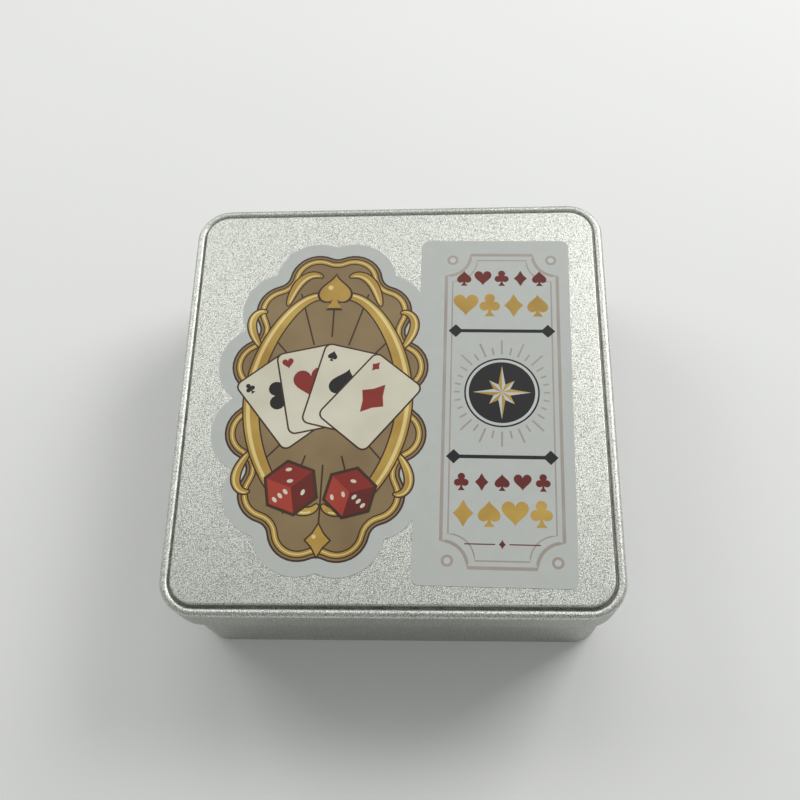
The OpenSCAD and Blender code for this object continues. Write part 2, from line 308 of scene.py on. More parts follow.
# %% [markdown]
# The hinge is made from the sheet itself. The hem is cut away along the hinge, and two strips of
# the skirt are rolled inwards round a steel wire. Three tongues lanced from the back wall are
# rolled round the same wire between them. Each strip is one section, extruded along the hinge and
# joined to its sheet with an exact boolean, and before that a boolean cuts the hem away. The
# cutting shapes reach past the sheet, so that no thin skin is left, and the strips overlap it.

# %% Rolled strips of the hinge
past = 1.0
hinge_l = 4 * knuckle_pitch + knuckle_l


def lid_roll():
    """Strip of the skirt that goes down and inwards round the wire, in Y and Z."""
    hinge = (hinge_y, hinge_z)
    top = notch_z + past
    return ([(tin_d / 2, top)] + arc(hinge, roll_out, 0, -roll_angle, roll_steps)
            + arc(hinge, roll_in, -roll_angle, 0, roll_steps) + [(hinge_y + roll_in, top)])


def base_roll():
    """Tongue that leaves the back wall, runs out and goes up and round the wire."""
    hinge, back = (hinge_y, hinge_z), base_d / 2
    bend = (back + tongue_bend_r, hinge_z - roll_out - tongue_bend_r)
    return (arc(bend, tongue_bend_r, 180, 90, bend_steps)
            + arc(hinge, roll_out, -90, roll_angle - 90, roll_steps)
            + arc(hinge, roll_in, roll_angle - 90, -90, roll_steps)
            + arc(bend, tongue_bend_r + sheet, 90, 180, bend_steps))


print("hinge length", hinge_l, "strip points", len(lid_roll()), len(base_roll()))

# %% Lid shell
lid_outline = rounded_outline(tin_w, tin_d, corner_r)
lid_shell = in_scene("lid_pressing", pressed_mesh(lid_outline, lid_outer, lid_inner))
cut_l, cut_deep = hinge_l + 4 * knuckle_gap, 1.5
cut_ys, cut_zs = (tin_d / 2 - cut_deep, tin_d / 2 + past), (skirt_z - past, notch_z)
combine(lid_shell, slab_mesh(0, cut_l, cut_ys, cut_zs), "DIFFERENCE")
for x in (-knuckle_pitch, knuckle_pitch):
    combine(lid_shell, strip_mesh(lid_roll(), x, knuckle_l), "UNION")
print("lid faces", len(lid_shell.data.polygons))

# %% [markdown]
# The wall of the base is one strip bent round and closed with a lock seam at the back. Its upper
# edge is rolled inwards so that fingers meet no raw edge, and its lower edge is folded in to
# clinch the bottom panel, which is pressed with a raised middle so that it stays stiff.

# %% Base wall
rim_c = (rim_r, rim_z - rim_r)
wall_outer = ([(clinch_w, clinch_h)]
              + arc((clinch_w - sheet, sheet), sheet, 0, -90, bend_steps)
              + arc((sheet, sheet), sheet, -90, -180, bend_steps)
              + arc(rim_c, rim_r, 180, 180 - roll_angle, rim_steps))
wall_inner = (arc(rim_c, rim_r - sheet, 180 - roll_angle, 180, rim_steps)
              + [(sheet, sheet), (clinch_w - sheet, sheet), (clinch_w - sheet, clinch_h)])
base_outline = rounded_outline(base_w, base_d, base_r)
base_wall = in_scene("base_side", ring_mesh(base_outline, wall_outer, wall_inner))
print("wall section points", len(wall_outer), len(wall_inner))

# %% [markdown]
# A tongue leaves a window in the back wall that is as high as the tongue is long when laid flat.
# The lock seam is a flat fold: it is thicker inside and shows outside only as a fine line.

# %% Windows, tongues and seam
back = base_d / 2
tongue_z = hinge_z - roll_out - tongue_bend_r
bend_arc = math.radians(90) * (tongue_bend_r + sheet / 2)
window_h = bend_arc + math.radians(roll_angle) * (roll_in + sheet / 2) + hinge_y - back - tongue_bend_r
base_knuckles = (-2 * knuckle_pitch, 0, 2 * knuckle_pitch)
window_ys, window_zs = (back - 2 * sheet, back + past), (tongue_z, tongue_z + window_h)
for x in base_knuckles:
    combine(base_wall, slab_mesh(x, knuckle_l, window_ys, window_zs), "DIFFERENCE")
for x in base_knuckles:
    combine(base_wall, strip_mesh(base_roll(), x, knuckle_l), "UNION")
seam_x, seam_w = 36.0, 4.0
seam_zs = (clinch_h + 2 * sheet + panel_bend_r, rim_z - 2 * rim_r - sheet)
fold_ys, line_ys = (back - 2 * sheet, back - sheet / 2), (back - sheet / 2, back + past)
combine(base_wall, slab_mesh(seam_x, seam_w, fold_ys, seam_zs), "UNION")
combine(base_wall, slab_mesh(seam_x - seam_w / 2, sheet, line_ys, seam_zs), "DIFFERENCE")
print("window height", round(window_h, 2), "wall faces", len(base_wall.data.polygons))

# %% [markdown]
# The bottom panel is the same kind of pressing as the lid: a flange that stands in the clinch, a
# flat land and a low step up to the middle, made of two arcs that meet at one slant.

# %% Bottom panel
step_sweep = math.degrees(math.acos(0.5))
low_z = floor_top - bottom_step_h
step_end = bottom_step_at + 2 * bottom_step_h * math.sin(math.radians(step_sweep))


def floor_side(below):
    """Points from the middle to the flange along one side of the bottom panel."""
    t = sheet if below else 0
    outer, inner = bottom_step_h + sheet / 2 - t, bottom_step_h - sheet / 2 + t
    high_c = (step_end, floor_top - bottom_step_h - sheet / 2)
    low_c = (bottom_step_at, low_z + bottom_step_h - sheet / 2)
    edge_c = (panel_at + panel_bend_r, low_z - panel_bend_r)
    return ([(step_end + lap, floor_top - t)]
            + arc(high_c, outer, 90, 90 + step_sweep, bend_steps)
            + arc(low_c, inner, 270 + step_sweep, 270, bend_steps)
            + arc(edge_c, panel_bend_r - t, 90, 180, bend_steps)
            + [(panel_at + t, sheet + seat)])


base_panel = in_scene("base_floor", pressed_mesh(base_outline, floor_side(True), floor_side(False)[::-1]))
print("panel faces", len(base_panel.data.polygons))

# %% [markdown]
# The hinge wire is drawn steel cut to length, with its ends broken by a small chamfer. A lathe
# loop makes it: one circle for each place where the radius changes.

# %% Hinge wire
def turned_rod(name, places, y, z, sides=32):
    """Rod along X through (x, radius) places."""
    bm = bmesh.new()
    rings = []
    for x, r in places:
        around = arc((0, 0), r, 0, 360 - 360 / sides, sides - 1)
        rings.append([bm.verts.new((x, y + p[0], z + p[1])) for p in around])
    for a, b in zip(rings, rings[1:]):
        for k in range(sides):
            n = (k + 1) % sides
            bm.faces.new((a[k], a[n], b[n], b[k]))
    bm.faces.new(rings[0])
    bm.faces.new(reversed(rings[-1]))
    return in_scene(name, bm)


chamfer = 0.12
hinge_wire = turned_rod("hinge_pin_wire", [
    (wire_low.x, wire_r - chamfer), (wire_low.x + chamfer, wire_r),
    (wire_high.x - chamfer, wire_r), (wire_high.x, wire_r - chamfer)], hinge_y, hinge_z)
print("wire length", round(wire_high.x - wire_low.x, 2))

# %% [markdown]
# The insert is a black sheet drawn by vacuum into a mould, so it has one thickness, slightly
# sloped walls and soft edges. It could be carved with booleans, but then the edges stay sharp.
# Here one skin is laid from outlines: the rim, the two wells joined by a finger notch, and their
# floors. A Bevel modifier rounds every edge and a Solidify modifier gives the sheet thickness.

# %% Outlines of the wells
tray_w, tray_d = tray_high.x - tray_low.x, tray_high.y - tray_low.y
tray_play = 0.4       # room between the insert and the rolled rim
tray_r = base_r - 2 * rim_r - tray_play
tray_t = 0.5          # thickness of the plastic
bridge_w = 5.4        # flat strip between and beside the wells
card_gap = 0.8        # room round the deck
well_r = 4.3
finger_r = 7.0
relief_fillet = 1.3
leaf_well_deep = 24.0
well_steps, fillet_steps, relief_steps = 8, 5, 20
card_x = (deck_low.x + deck_high.x) / 2
card_a = (deck_high.x - deck_low.x) / 2 + card_gap
card_b = (deck_high.y - deck_low.y) / 2 + card_gap
leaf_left = card_x + card_a + bridge_w
leaf_right = tray_high.x - bridge_w
notch_half, notch_fillet, notch_h = 12.0, 2.0, 8.0
notch_end = notch_half + notch_fillet
card_floor = deck_low.z - seat
leaf_floor = tray_high.z - leaf_well_deep


def relief(side):
    """Finger relief in the middle of an end of the card well, from right to left seen from outside."""
    lean = math.degrees(math.asin(relief_fillet / (finger_r + relief_fillet)))
    reach = (finger_r + relief_fillet) * math.cos(math.radians(lean))
    first = turn((reach, card_b + relief_fillet), relief_fillet, -90, -180 + lean, fillet_steps)
    middle = turn((0, card_b), finger_r, lean, 180 - lean, relief_steps)
    last = turn((-reach, card_b + relief_fillet), relief_fillet, -lean, -90, fillet_steps)
    return [(Vector((card_x, 0)) + side * p, side * way) for p, way in first + middle[1:-1] + last]


def card_outline():
    """Card well, open along the notch at its right."""
    x, y = card_a - well_r, card_b - well_r
    right = Vector((1, 0))
    outline = [(Vector((card_x + card_a, notch_end)), right)]
    outline += turn((card_x + x, y), well_r, 0, 90, well_steps) + relief(1)
    outline += turn((card_x - x, y), well_r, 90, 180, well_steps)
    outline += turn((card_x - x, -y), well_r, 180, 270, well_steps) + relief(-1)
    outline += turn((card_x + x, -y), well_r, 270, 360, well_steps)
    return outline + [(Vector((card_x + card_a, -notch_end)), right)]


def leaf_outline():
    """Leaflet well, open along the notch at its left."""
    y, left = card_b - well_r, Vector((-1, 0))
    outline = [(Vector((leaf_left, -notch_end)), left)]
    for i, (x, side) in enumerate([(leaf_left + well_r, -1), (leaf_right - well_r, -1),
                                   (leaf_right - well_r, 1), (leaf_left + well_r, 1)]):
        outline += turn((x, side * y), well_r, 180 + 90 * i, 270 + 90 * i, well_steps)
    return outline + [(Vector((leaf_left, notch_end)), left)]


def notch_side(side):
    """Edge of the finger notch between the wells, in outline order."""
    first, last = (card_x + card_a + notch_fillet, -notch_end), (leaf_left - notch_fillet, -notch_end)
    points = (turn(first, notch_fillet, 180, 90, fillet_steps)
              + turn(last, notch_fillet, 90, 0, fillet_steps))
    if side < 0:
        return points
    centre = Vector(((card_x + card_a + leaf_left), 0))
    return [(centre - p, -way) for p, way in points]


print("well outlines", len(card_outline()), len(leaf_outline()))

# %% [markdown]
# The skin is laid from top to bottom: the rim is a flat polygon with a hole, the walls are strips
# between one outline and the same outline a little smaller below, and the floors are single faces.

# %% Insert skin
draft = 0.3           # how much a wall leans, so that the sheet leaves its mould
soft_r, soft_steps, soft_from = 0.7, 4, 40
top_z, notch_floor = tray_high.z, tray_high.z - notch_h


def insert_skin():
    """One surface over the rim, down the walls and over the floors."""
    bm = bmesh.new()

    def level(outline, grow, z):
        """Corners of an outline, moved outwards, at one height."""
        return [bm.verts.new((*p, z)) for p in grown(outline, grow)]

    def wall(upper, lower, closed):
        """Faces between two rows of corners."""
        count = len(upper) if closed else len(upper) - 1
        for k in range(count):
            n = (k + 1) % len(upper)
            bm.faces.new((upper[k], upper[n], lower[n], lower[k]))

    card, leaf = card_outline(), leaf_outline()
    low, high = notch_side(-1)[1:-1], notch_side(1)[1:-1]
    mouth = card + low + leaf + high
    top = level(mouth, draft, top_z)
    middle = level(mouth, 0, notch_floor)
    wall(top, middle, closed=True)
    at_leaf = len(card) + len(low)
    card_ring, leaf_ring = middle[:len(card)], middle[at_leaf:at_leaf + len(leaf)]
    bm.faces.new(middle[len(card) - 1:at_leaf + 1] + middle[at_leaf + len(leaf) - 1:] + [middle[0]])
    for ring, outline, z in ((card_ring, card, card_floor), (leaf_ring, leaf, leaf_floor)):
        bottom = level(outline, -draft / 2, z)
        wall(ring, bottom, closed=True)
        bm.faces.new(bottom)
    edge = rounded_outline(tray_w, tray_d, tray_r)
    rim = level(edge, -draft, top_z)
    wall(rim, level(edge, 0, tray_low.z), closed=True)
    flat = rim + top
    for corners in tessellate_polygon([[v.co for v in rim], [v.co for v in top]]):
        bm.faces.new([flat[k] for k in corners])
    return bm


insert = in_scene("insert_sheet", insert_skin())
bevel = insert.modifiers.new("soft edges", "BEVEL")
bevel.width, bevel.segments = soft_r, soft_steps
bevel.limit_method, bevel.angle_limit = "ANGLE", math.radians(soft_from)
apply_modifiers(insert)
if max(insert.data.polygons, key=lambda face: face.area).normal.z < 0:
    insert.data.flip_normals()
thickness = insert.modifiers.new("sheet", "SOLIDIFY")
thickness.thickness, thickness.offset = tray_t, -1
apply_modifiers(insert)
print("insert faces", len(insert.data.polygons))

# %% [markdown]
# A deck in its well is never quite square: each card lies a hair off the one below. The cards
# are separate sheets of the same outline, each shifted and turned a little by seeded draws, and
# only so far that the deck stays in its well.

# %% Card deck
card_count, card_t, card_corner_r = 55, 0.3, 3.5
card_pitch = (deck_high.z - deck_low.z - card_t) / (card_count - 1)
card_w, card_l = deck_high.x - deck_low.x, deck_high.y - deck_low.y
card_outline_mm = rounded_outline(card_w, card_l, card_corner_r, bend_steps)
card_shift, card_turn = 0.18, 0.12
CARD_FACE, CARD_EDGE, CARD_BACK = 0, 1, 2
draw = random.Random(7)


def deck_mesh():
    """All cards of the deck, with separate material slots for faces, edges and the uppermost back."""
    bm = bmesh.new()
    for i in range(card_count):
        z = deck_low.z + i * card_pitch
        place = Matrix.Translation((card_x + draw.uniform(-card_shift, card_shift),
                                    draw.uniform(-card_shift, card_shift), 0))
        place = place @ Matrix.Rotation(math.radians(draw.uniform(-card_turn, card_turn)), 4, "Z")
        low = [bm.verts.new(place @ Vector((*p, z))) for p, way in card_outline_mm]
        high = [bm.verts.new(v.co + Vector((0, 0, card_t))) for v in low]
        bm.faces.new(low)
        bm.faces.new(high).material_index = CARD_BACK if i == card_count - 1 else CARD_FACE
        for k in range(len(low)):
            n = (k + 1) % len(low)
            bm.faces.new((low[k], low[n], high[n], high[k])).material_index = CARD_EDGE
    return bm


deck = in_scene("playing_cards", deck_mesh())
print("cards", card_count, "pitch", round(card_pitch, 3))

# %% [markdown]
# The leaflet is one sheet folded to and fro like a concertina. Its middle line is drawn first,
# with a round fold at alternate ends, and the paper is that line given a thickness. Paper springs
# open a little, so the panels bow, and no two folds lie exactly over each other.

# %% Bands along a line
def band_sides(line, widths, closed=False):
    """Points to the left and to the right of a line, half its width away at each point."""
    left, right = [], []
    last = len(line) - 1
    for k, (p, width) in enumerate(zip(line, widths)):
        before, after = (k - 1, (k + 1) % len(line)) if closed else (max(k - 1, 0), min(k + 1, last))
        way = (line[after] - line[before]).normalized()
        across = Vector((-way.y, way.x)) * width / 2
        left.append(p + across)
        right.append(p - across)
    return left, right


# %% Folded leaflet
leaf_low, leaf_high = box_mm("rules_leaflet")
leaf_panels, paper_t = 6, 0.14
fold_pitch = (leaf_high.z - leaf_low.z - paper_t) / (leaf_panels - 1)
fold_r, fold_slack, panel_bow = fold_pitch / 2, 0.3, 0.07
panel_steps, fold_steps = 16, 8


def leaflet_line():
    """Middle line of the folded sheet, in X and Z from the middle of its lowest panel."""
    reach = (leaf_high.x - leaf_low.x - paper_t) / 2 - fold_r
    line, x = [], -reach
    for i in range(leaf_panels):
        side, z = (1, -1)[i % 2], i * fold_pitch + paper_t / 2
        end = side * (reach - draw.uniform(0, fold_slack))
        for s in range(panel_steps + 1):
            share = s / panel_steps
            line.append(Vector((x + (end - x) * share, z + panel_bow * math.sin(math.pi * share))))
        if i < leaf_panels - 1:
            fold = arc((end, z + fold_r), fold_r, -90, -90 + side * 180, fold_steps)
            line += [Vector(p) for p in fold[1:-1]]
        x = end
    return line


middle_line = leaflet_line()
left, right = band_sides(middle_line, [paper_t] * len(middle_line))
bm = strip_mesh([p.to_tuple() for p in left + right[::-1]], 0, leaf_high.y - leaf_low.y)
in_well = Matrix.Translation(((leaf_low.x + leaf_high.x) / 2, 0, leaf_low.z))
bm.transform(in_well @ Matrix.Rotation(math.radians(-90), 4, "Z"))
leaflet = in_scene("folded_leaflet", bm)
print("leaflet panels", leaf_panels, "pitch", round(fold_pitch, 3))

# %% [markdown]
# The label is a die-cut paper sticker: a scalloped cartouche at the left that runs into an
# upright panel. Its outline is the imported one. The print takes some of the label's thickness, so
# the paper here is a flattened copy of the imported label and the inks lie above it, each a few
# thousandths of a millimetre over the last, as a press lays them.

# %% Label paper
label_turn, label_shift = -1.2, 1.8   # askew in degrees, and off the middle towards the front
paper_part = 0.7                      # share of the label's thickness that is paper
paper_z = tin_h + (label_top - tin_h) * paper_part
ink_step = 0.0016                     # height of one ink over the last

label = bpy.data.objects.new("paper_label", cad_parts["lid_label"].data.copy())
bpy.context.scene.collection.objects.link(label)
label.data.transform(Matrix.Scale(1 / MM, 4))
for corner in label.data.vertices:
    corner.co.z = tin_h + (corner.co.z - tin_h) * paper_part
print("label paper", round(paper_z - tin_h, 3), "thick")

# %% [markdown]
# The print is generic: playing-card suits, a fan of cards, dice and scrolls, in the gold, brown,
# deep red and black of the label. Patterns this crisp could be drawn in a shader with maths
# nodes, but a shape is easier to place, to read and to keep sharp as a thin face. One bmesh
# gathers all the shapes of an ink, and a shape is a list of points measured from the label's
# middle in millimetres.

# %% Drawing on the label
inks = {}
tip_steps = 6


def ink_face(ink, points, level):
    """One flat printed shape, in millimetres on the label."""
    bm = inks.setdefault(ink, bmesh.new())
    bm.faces.new([bm.verts.new((*p, paper_z + (level + 1) * ink_step)) for p in points])


def ink_line(ink, line, widths, level, closed=False):
    """A printed line with its width at each point. It ends in round tips or closes on itself."""
    bm = inks.setdefault(ink, bmesh.new())
    line = [Vector(p) for p in line]
    if isinstance(widths, (int, float)):
        widths = [widths] * len(line)
    left, right = band_sides(line, widths, closed)
    z = paper_z + (level + 1) * ink_step
    sides = [[bm.verts.new((*p, z)) for p in side] for side in (left, right)]
    for k in range(len(line) if closed else len(line) - 1):
        n = (k + 1) % len(line)
        bm.faces.new((sides[0][k], sides[1][k], sides[1][n], sides[0][n]))
    ends = [] if closed else [(0, 1), (-1, -1)]
    for k, side in ends:
        tip = math.degrees(math.atan2(*(left[k] - right[k]).yx))
        round_tip = arc(line[k], widths[k] / 2, tip, tip + side * 180, tip_steps)[1:-1]
        bm.faces.new([sides[0][k], *[bm.verts.new((*p, z)) for p in round_tip], sides[1][k]])


def placed(points, at, size=1.0, angle=0.0):
    """Points scaled, turned in degrees and moved to a place."""
    c, s = math.cos(math.radians(angle)) * size, math.sin(math.radians(angle)) * size
    return [(at[0] + p[0] * c - p[1] * s, at[1] + p[0] * s + p[1] * c) for p in points]


def circle(at, radius, steps=48):
    """Points round a circle."""
    return arc(at, radius, 0, 360 - 360 / steps, steps - 1)


def lobed(centres, radius, margin=0.0, steps=10):
    """Outline of lobes set in a ring anticlockwise, moved in by a margin with its hollows kept round."""
    def bearing(way):
        """Angle of a direction in degrees."""
        return math.degrees(math.atan2(way.y, way.x))

    def cusp(a, b):
        """Outer point where the lobes round two neighbouring centres meet."""
        half = (b - a) / 2
        out = Vector((half.y, -half.x)).normalized()
        return (a + b) / 2 + out * math.sqrt(radius ** 2 - half.length ** 2)

    centres = [Vector(c) for c in centres]
    outline = []
    for k, here in enumerate(centres):
        before, after = centres[k - 1], centres[(k + 1) % len(centres)]
        first, last = cusp(before, here), cusp(here, after)
        start, end = bearing(first - here), bearing(last - here)
        outline += arc(here, radius - margin, start, end + 360 * (end < start), steps)
        if margin:
            start, end = bearing(here - last), bearing(after - last)
            outline += arc(last, margin, start, end - 360 * (end > start), steps // 2)[1:-1]
    return outline


print("ink step", ink_step, "mm over paper at", round(paper_z, 3))

# %% [markdown]
# The four suits are built from what they are in geometry: a heart is a known curve of sines, a
# spade is a heart turned over with a foot, a club is three lobes with a foot and a diamond has
# four points and slightly hollow sides. Each is drawn about its own middle and one unit high.

# %% Suits
def heart():
    """Points of a heart, one unit high."""
    angles = [2 * math.pi * k / 40 for k in range(40)]
    return [(16 * math.sin(t) ** 3 / 32,
             (13 * math.cos(t) - 5 * math.cos(2 * t) - 2 * math.cos(3 * t) - math.cos(4 * t) + 2.5) / 30)
            for t in angles]


FOOT = [(-0.05, -0.1), (-0.07, -0.32), (-0.2, -0.5), (0.2, -0.5), (0.07, -0.32), (0.05, -0.1)]
CLOVER = [(math.cos(a), math.sin(a)) for a in (math.pi / 2, math.pi * 7 / 6, math.pi * 11 / 6)]
SUITS = {
    "heart": [heart()],
    "diamond": [[(0, 0.52), (-0.17, 0.22), (-0.38, 0), (-0.17, -0.22),
                 (0, -0.52), (0.17, -0.22), (0.38, 0), (0.17, 0.22)]],
    "spade": [placed(heart(), (0, 0.1), 0.84, 180), FOOT],
    "club": [lobed(placed(CLOVER, (0, 0.08), 0.235), 0.21), FOOT],
}


def suit(name, ink, at, size, level, angle=0.0):
    """Prints a suit, its foot one level above its body."""
    for k, shape in enumerate(SUITS[name]):
        ink_face(ink, placed(shape, at, size, angle), level + k)


print("suits", list(SUITS))

# %% [markdown]
# A printed scroll is a line whose bend tightens towards its ends. Instead of placing control
# points by eye, the line is walked: at each small stride the heading turns by a rate that grows
# towards the ends, which gives the same even curl at every size. Gold needs three prints to look
# rounded: a dark edge, the gold itself and a light line a little off its middle.

# %% Scrolls
dark_edge = 0.8       # how much wider the dark print is than the gold
light_share = 0.26    # width of the light line as a share of the gold
fullness = 0.6        # how soon a scroll reaches its full width; below one is sooner


def walked(start, heading, length, bend, strides=60):
    """Points of a line from a start, whose turn in degrees per millimetre is bend(share of its length)."""
    points, at, way = [Vector(start)], Vector(start), math.radians(heading)
    stride = length / strides
    for k in range(strides):
        way += math.radians(bend((k + 0.5) / strides)) * stride
        at = at + stride * Vector((math.cos(way), math.sin(way)))
        points.append(at)
    return points


def gilded(line, width, level, taper=0.25, lift=0.18):
    """A gold band with a dark edge and a light line along one side, thinner towards both ends."""
    last = len(line) - 1
    swell = [math.sin(math.pi * (k / last)) ** fullness for k in range(len(line))]
    widths = [width * (taper + (1 - taper) * share) for share in swell]
    ink_line("print_umber", line, [w + dark_edge for w in widths], level)
    ink_line("print_gold", line, widths, level + 1)
    inner = range(3, last - 2)
    lit = []
    for k in inner:
        way = (line[k + 1] - line[k - 1]).normalized()
        lit.append(line[k] + Vector((-way.y, way.x)) * widths[k] * lift)
    ink_line("print_light_gold", lit, [widths[k] * light_share for k in inner], level + 2)


def mirrored(line, x):
    """A line mirrored at an upright axis."""
    return [Vector((2 * x - p[0], p[1])) for p in line]


print("scroll points", len(walked((0, 0), 0, 10, lambda share: 5)))

# %% [markdown]
# The cartouche is a plate with twelve lobes. Its edge has to follow the die-cut edge of the label
# at an even margin, so the same lobes are drawn again with a smaller radius. Every layer of the
# picture has its level over the paper, so that no ink lies in the plane of one that it crosses.

# %% Cartouche ground
plate_level, rim_level, scroll_level, band_level, top_level = 0, 2, 5, 9, 13
lobe_r, lobe_count = 11.5, 12
label_left, scallop_w, label_h = 47.0, 60.0, 95.0
art_x = scallop_w / 2 - label_left
scallop_rx, scallop_ry = scallop_w / 2 - lobe_r, label_h / 2 - lobe_r
lobes = [(art_x + scallop_rx * math.cos(math.radians(360 * (k + 0.5) / lobe_count)),
          scallop_ry * math.sin(math.radians(360 * (k + 0.5) / lobe_count))) for k in range(lobe_count)]
print_margin, plate_edge, rim_in = 3.6, 0.5, 1.9
ink_face("print_umber", lobed(lobes, lobe_r, print_margin), plate_level)
ink_face("print_tan", lobed(lobes, lobe_r, print_margin + plate_edge), plate_level + 1)
rim_line = lobed(lobes, lobe_r, print_margin + rim_in)
for k, (ink, width) in enumerate([("print_umber", 1.9), ("print_gold", 1.2), ("print_light_gold", 0.3)]):
    ink_line(ink, rim_line, width, rim_level + k, closed=True)
rib_from, rib_to, rib_w = 0.5, 0.98, 0.45
for k in range(lobe_count):
    a = math.radians(360 * k / lobe_count)
    rib = [Vector((art_x + f * scallop_rx * math.cos(a), f * scallop_ry * math.sin(a)))
           for f in (rib_from, rib_to)]
    ink_line("print_umber", rib, rib_w, rim_level)
print("cartouche centre", round(art_x, 2), "plate points", len(rim_line))

# %% [markdown]
# Two wide bands bow round the middle and curl in at both ends, small sprays leave them at the
# sides and two more at the top. The left side is walked and the right side is its mirror image.
# A mirror swaps left and right along a line, so the shift of the light line changes its sign.

# %% Gold bands and sprays
band_w, spray_w, crest_w, lit_by = 3.8, 2.0, 2.2, 0.2
half = walked((art_x - 19.8, 0.0), heading=270, length=39.5, bend=lambda share: 1.35 + 22 * share ** 9)
band = [Vector((p.x, -p.y)) for p in half[:0:-1]] + half
spray = walked((art_x - 19.0, -15.0), heading=235, length=13, bend=lambda share: 2 + 26 * share ** 2)
crest = walked((art_x - 12.5, 27.5), heading=75, length=14, bend=lambda share: -1 - 20 * share ** 2)
scrolls = ((spray, spray_w, scroll_level), (crest, crest_w, scroll_level), (band, band_w, band_level))
for side in (1, -1):
    for line, width, level in scrolls:
        line = line if side > 0 else mirrored(line, art_x)
        gilded(line, width, level, lift=-lit_by * side)
upper_spray = [Vector((p.x, -p.y)) for p in spray]
for side in (1, -1):
    line = upper_spray if side > 0 else mirrored(upper_spray, art_x)
    gilded(line, spray_w, scroll_level, lift=lit_by * side)
print("band ends", tuple(round(v, 1) for v in band[-1]))

# %% Gold spade and diamond
spot_at, spot_r, spot_steps = (-0.13, 0.12), 0.07, 20


def jewel(shape, at, size, level, edge=1.5):
    """A gold shape with a dark edge, and a light spot at its upper left."""
    for outline in SUITS[shape]:
        ink_face("print_umber", placed(outline, at, size + edge), level)
    for k, outline in enumerate(SUITS[shape]):
        ink_face("print_gold", placed(outline, at, size), level + 1 + k)
    spot = circle(spot_at, spot_r, spot_steps)
    ink_face("print_light_gold", placed(spot, at, size), level + 3)


jewel("spade", (art_x, 31.5), 10.0, top_level)
jewel("diamond", (art_x, -37.2), 7.5, top_level)
print("inks so far", sorted(inks))

# %% [markdown]
# The fan is four cards that turn about one foot, each laid over the last. A card is a dark shape
# under a slightly smaller pale one, which leaves a thin dark line round it.

# %% Fan of cards
def card_shape(w, h, r, steps=5):
    """Outline of a card about its own middle."""
    return [tuple(p) for p, way in rounded_outline(w, h, r, steps)]


fan_foot = Vector((art_x, -14.0))
fan_w, fan_h, fan_r, fan_reach = 15.5, 22.5, 1.6, 17.5
fan_edge, fan_edge_r = 0.9, 2.0
first_lean, lean_step = 39, 26
big_suit, small_suit = 9.5, 3.0
small_at = (-fan_w / 2 + 2.4, fan_h / 2 - 3)
for k, (name, ink) in enumerate([("club", "print_black"), ("heart", "print_red"),
                                 ("spade", "print_black"), ("diamond", "print_red")]):
    lean = first_lean - lean_step * k
    way = Vector((math.sin(math.radians(-lean)), math.cos(math.radians(lean))))
    at = fan_foot + way * fan_reach
    level = top_level + 3 * k
    edge = card_shape(fan_w + fan_edge, fan_h + fan_edge, fan_edge_r)
    ink_face("print_umber", placed(edge, at, 1, lean), level)
    ink_face("print_cream", placed(card_shape(fan_w, fan_h, fan_r), at, 1, lean), level + 1)
    suit(name, ink, placed([(0, 1.0)], at, 1, lean)[0], big_suit, level + 2, lean)
    suit(name, ink, placed([small_at], at, 1, lean)[0], small_suit, level + 2, lean)
print("fan foot", tuple(fan_foot))

# %% [markdown]
# Two dice lie under the fan. A die seen from a corner is three rhombs around one point, each in
# its own shade of red, with round pips pressed flat by the same slant as the face they lie on.

# %% Dice
PIPS = {1: [(0.5, 0.5)], 2: [(0.27, 0.27), (0.73, 0.73)], 3: [(0.25, 0.25), (0.5, 0.5), (0.75, 0.75)]}
die_edge, pip_r, pip_steps = 0.9, 0.1, 20


def die(at, size, angle, counts):
    """Three faces round the near corner, each with its pips."""
    ways = [Vector(placed([(1, 0)], (0, 0), size, angle + a)[0]) for a in (30, 150, 270)]
    middle = Vector(at)
    hull = []
    for k in range(3):
        hull += [middle + ways[k], middle + (ways[k] + ways[(k + 1) % 3])]
    rim = [middle + (p - middle) * (1 + die_edge / size) for p in hull]
    ink_face("print_umber", rim, top_level)
    for k, (ink, count) in enumerate(zip(("print_red", "print_light_red", "print_deep_red"), counts)):
        a, b = ways[k], ways[(k + 1) % 3]
        ink_face(ink, [middle, middle + a, middle + a + b, middle + b], top_level + 1)
        for u, v in PIPS[count]:
            pip = []
            for n in range(pip_steps):
                t = 2 * math.pi * n / pip_steps
                pip.append(middle + a * (u + pip_r * math.cos(t)) + b * (v + pip_r * math.sin(t)))
            ink_face("print_cream", pip, top_level + 2)


die((art_x - 7.6, -24.0), size=6.6, angle=10, counts=(2, 3, 1))
die((art_x + 7.2, -25.0), size=6.2, angle=-14, counts=(1, 2, 3))
print("dice under the fan")

# %% [markdown]
# The upright panel holds a thin frame with quarter circles in its corners, a black disc with a
# star between two bars with diamond ends, and rows of suits above and below.

# %% Frame of the panel
panel_x = 27.6
frame_w, frame_h, frame_r, frame_apart = 29.5, 86.0, 6.5, 1.7
outer_line, inner_line, hollow_steps = 0.85, 0.4, 8
ring_r, ring_hole_r, ring_in, ring_steps = 1.5, 0.8, 1.6, 32


def panel_frame(w, h, r, width):
    """A frame line with hollow corners."""
    x, y = w / 2, h / 2
    line = []
    for sx, sy, start in ((1, 1, 270), (-1, 1, 360), (-1, -1, 90), (1, -1, 180)):
        line += arc((panel_x + sx * x, sy * y), r, start, start - 90, hollow_steps)
    ink_line("print_taupe", line, width, 0, closed=True)


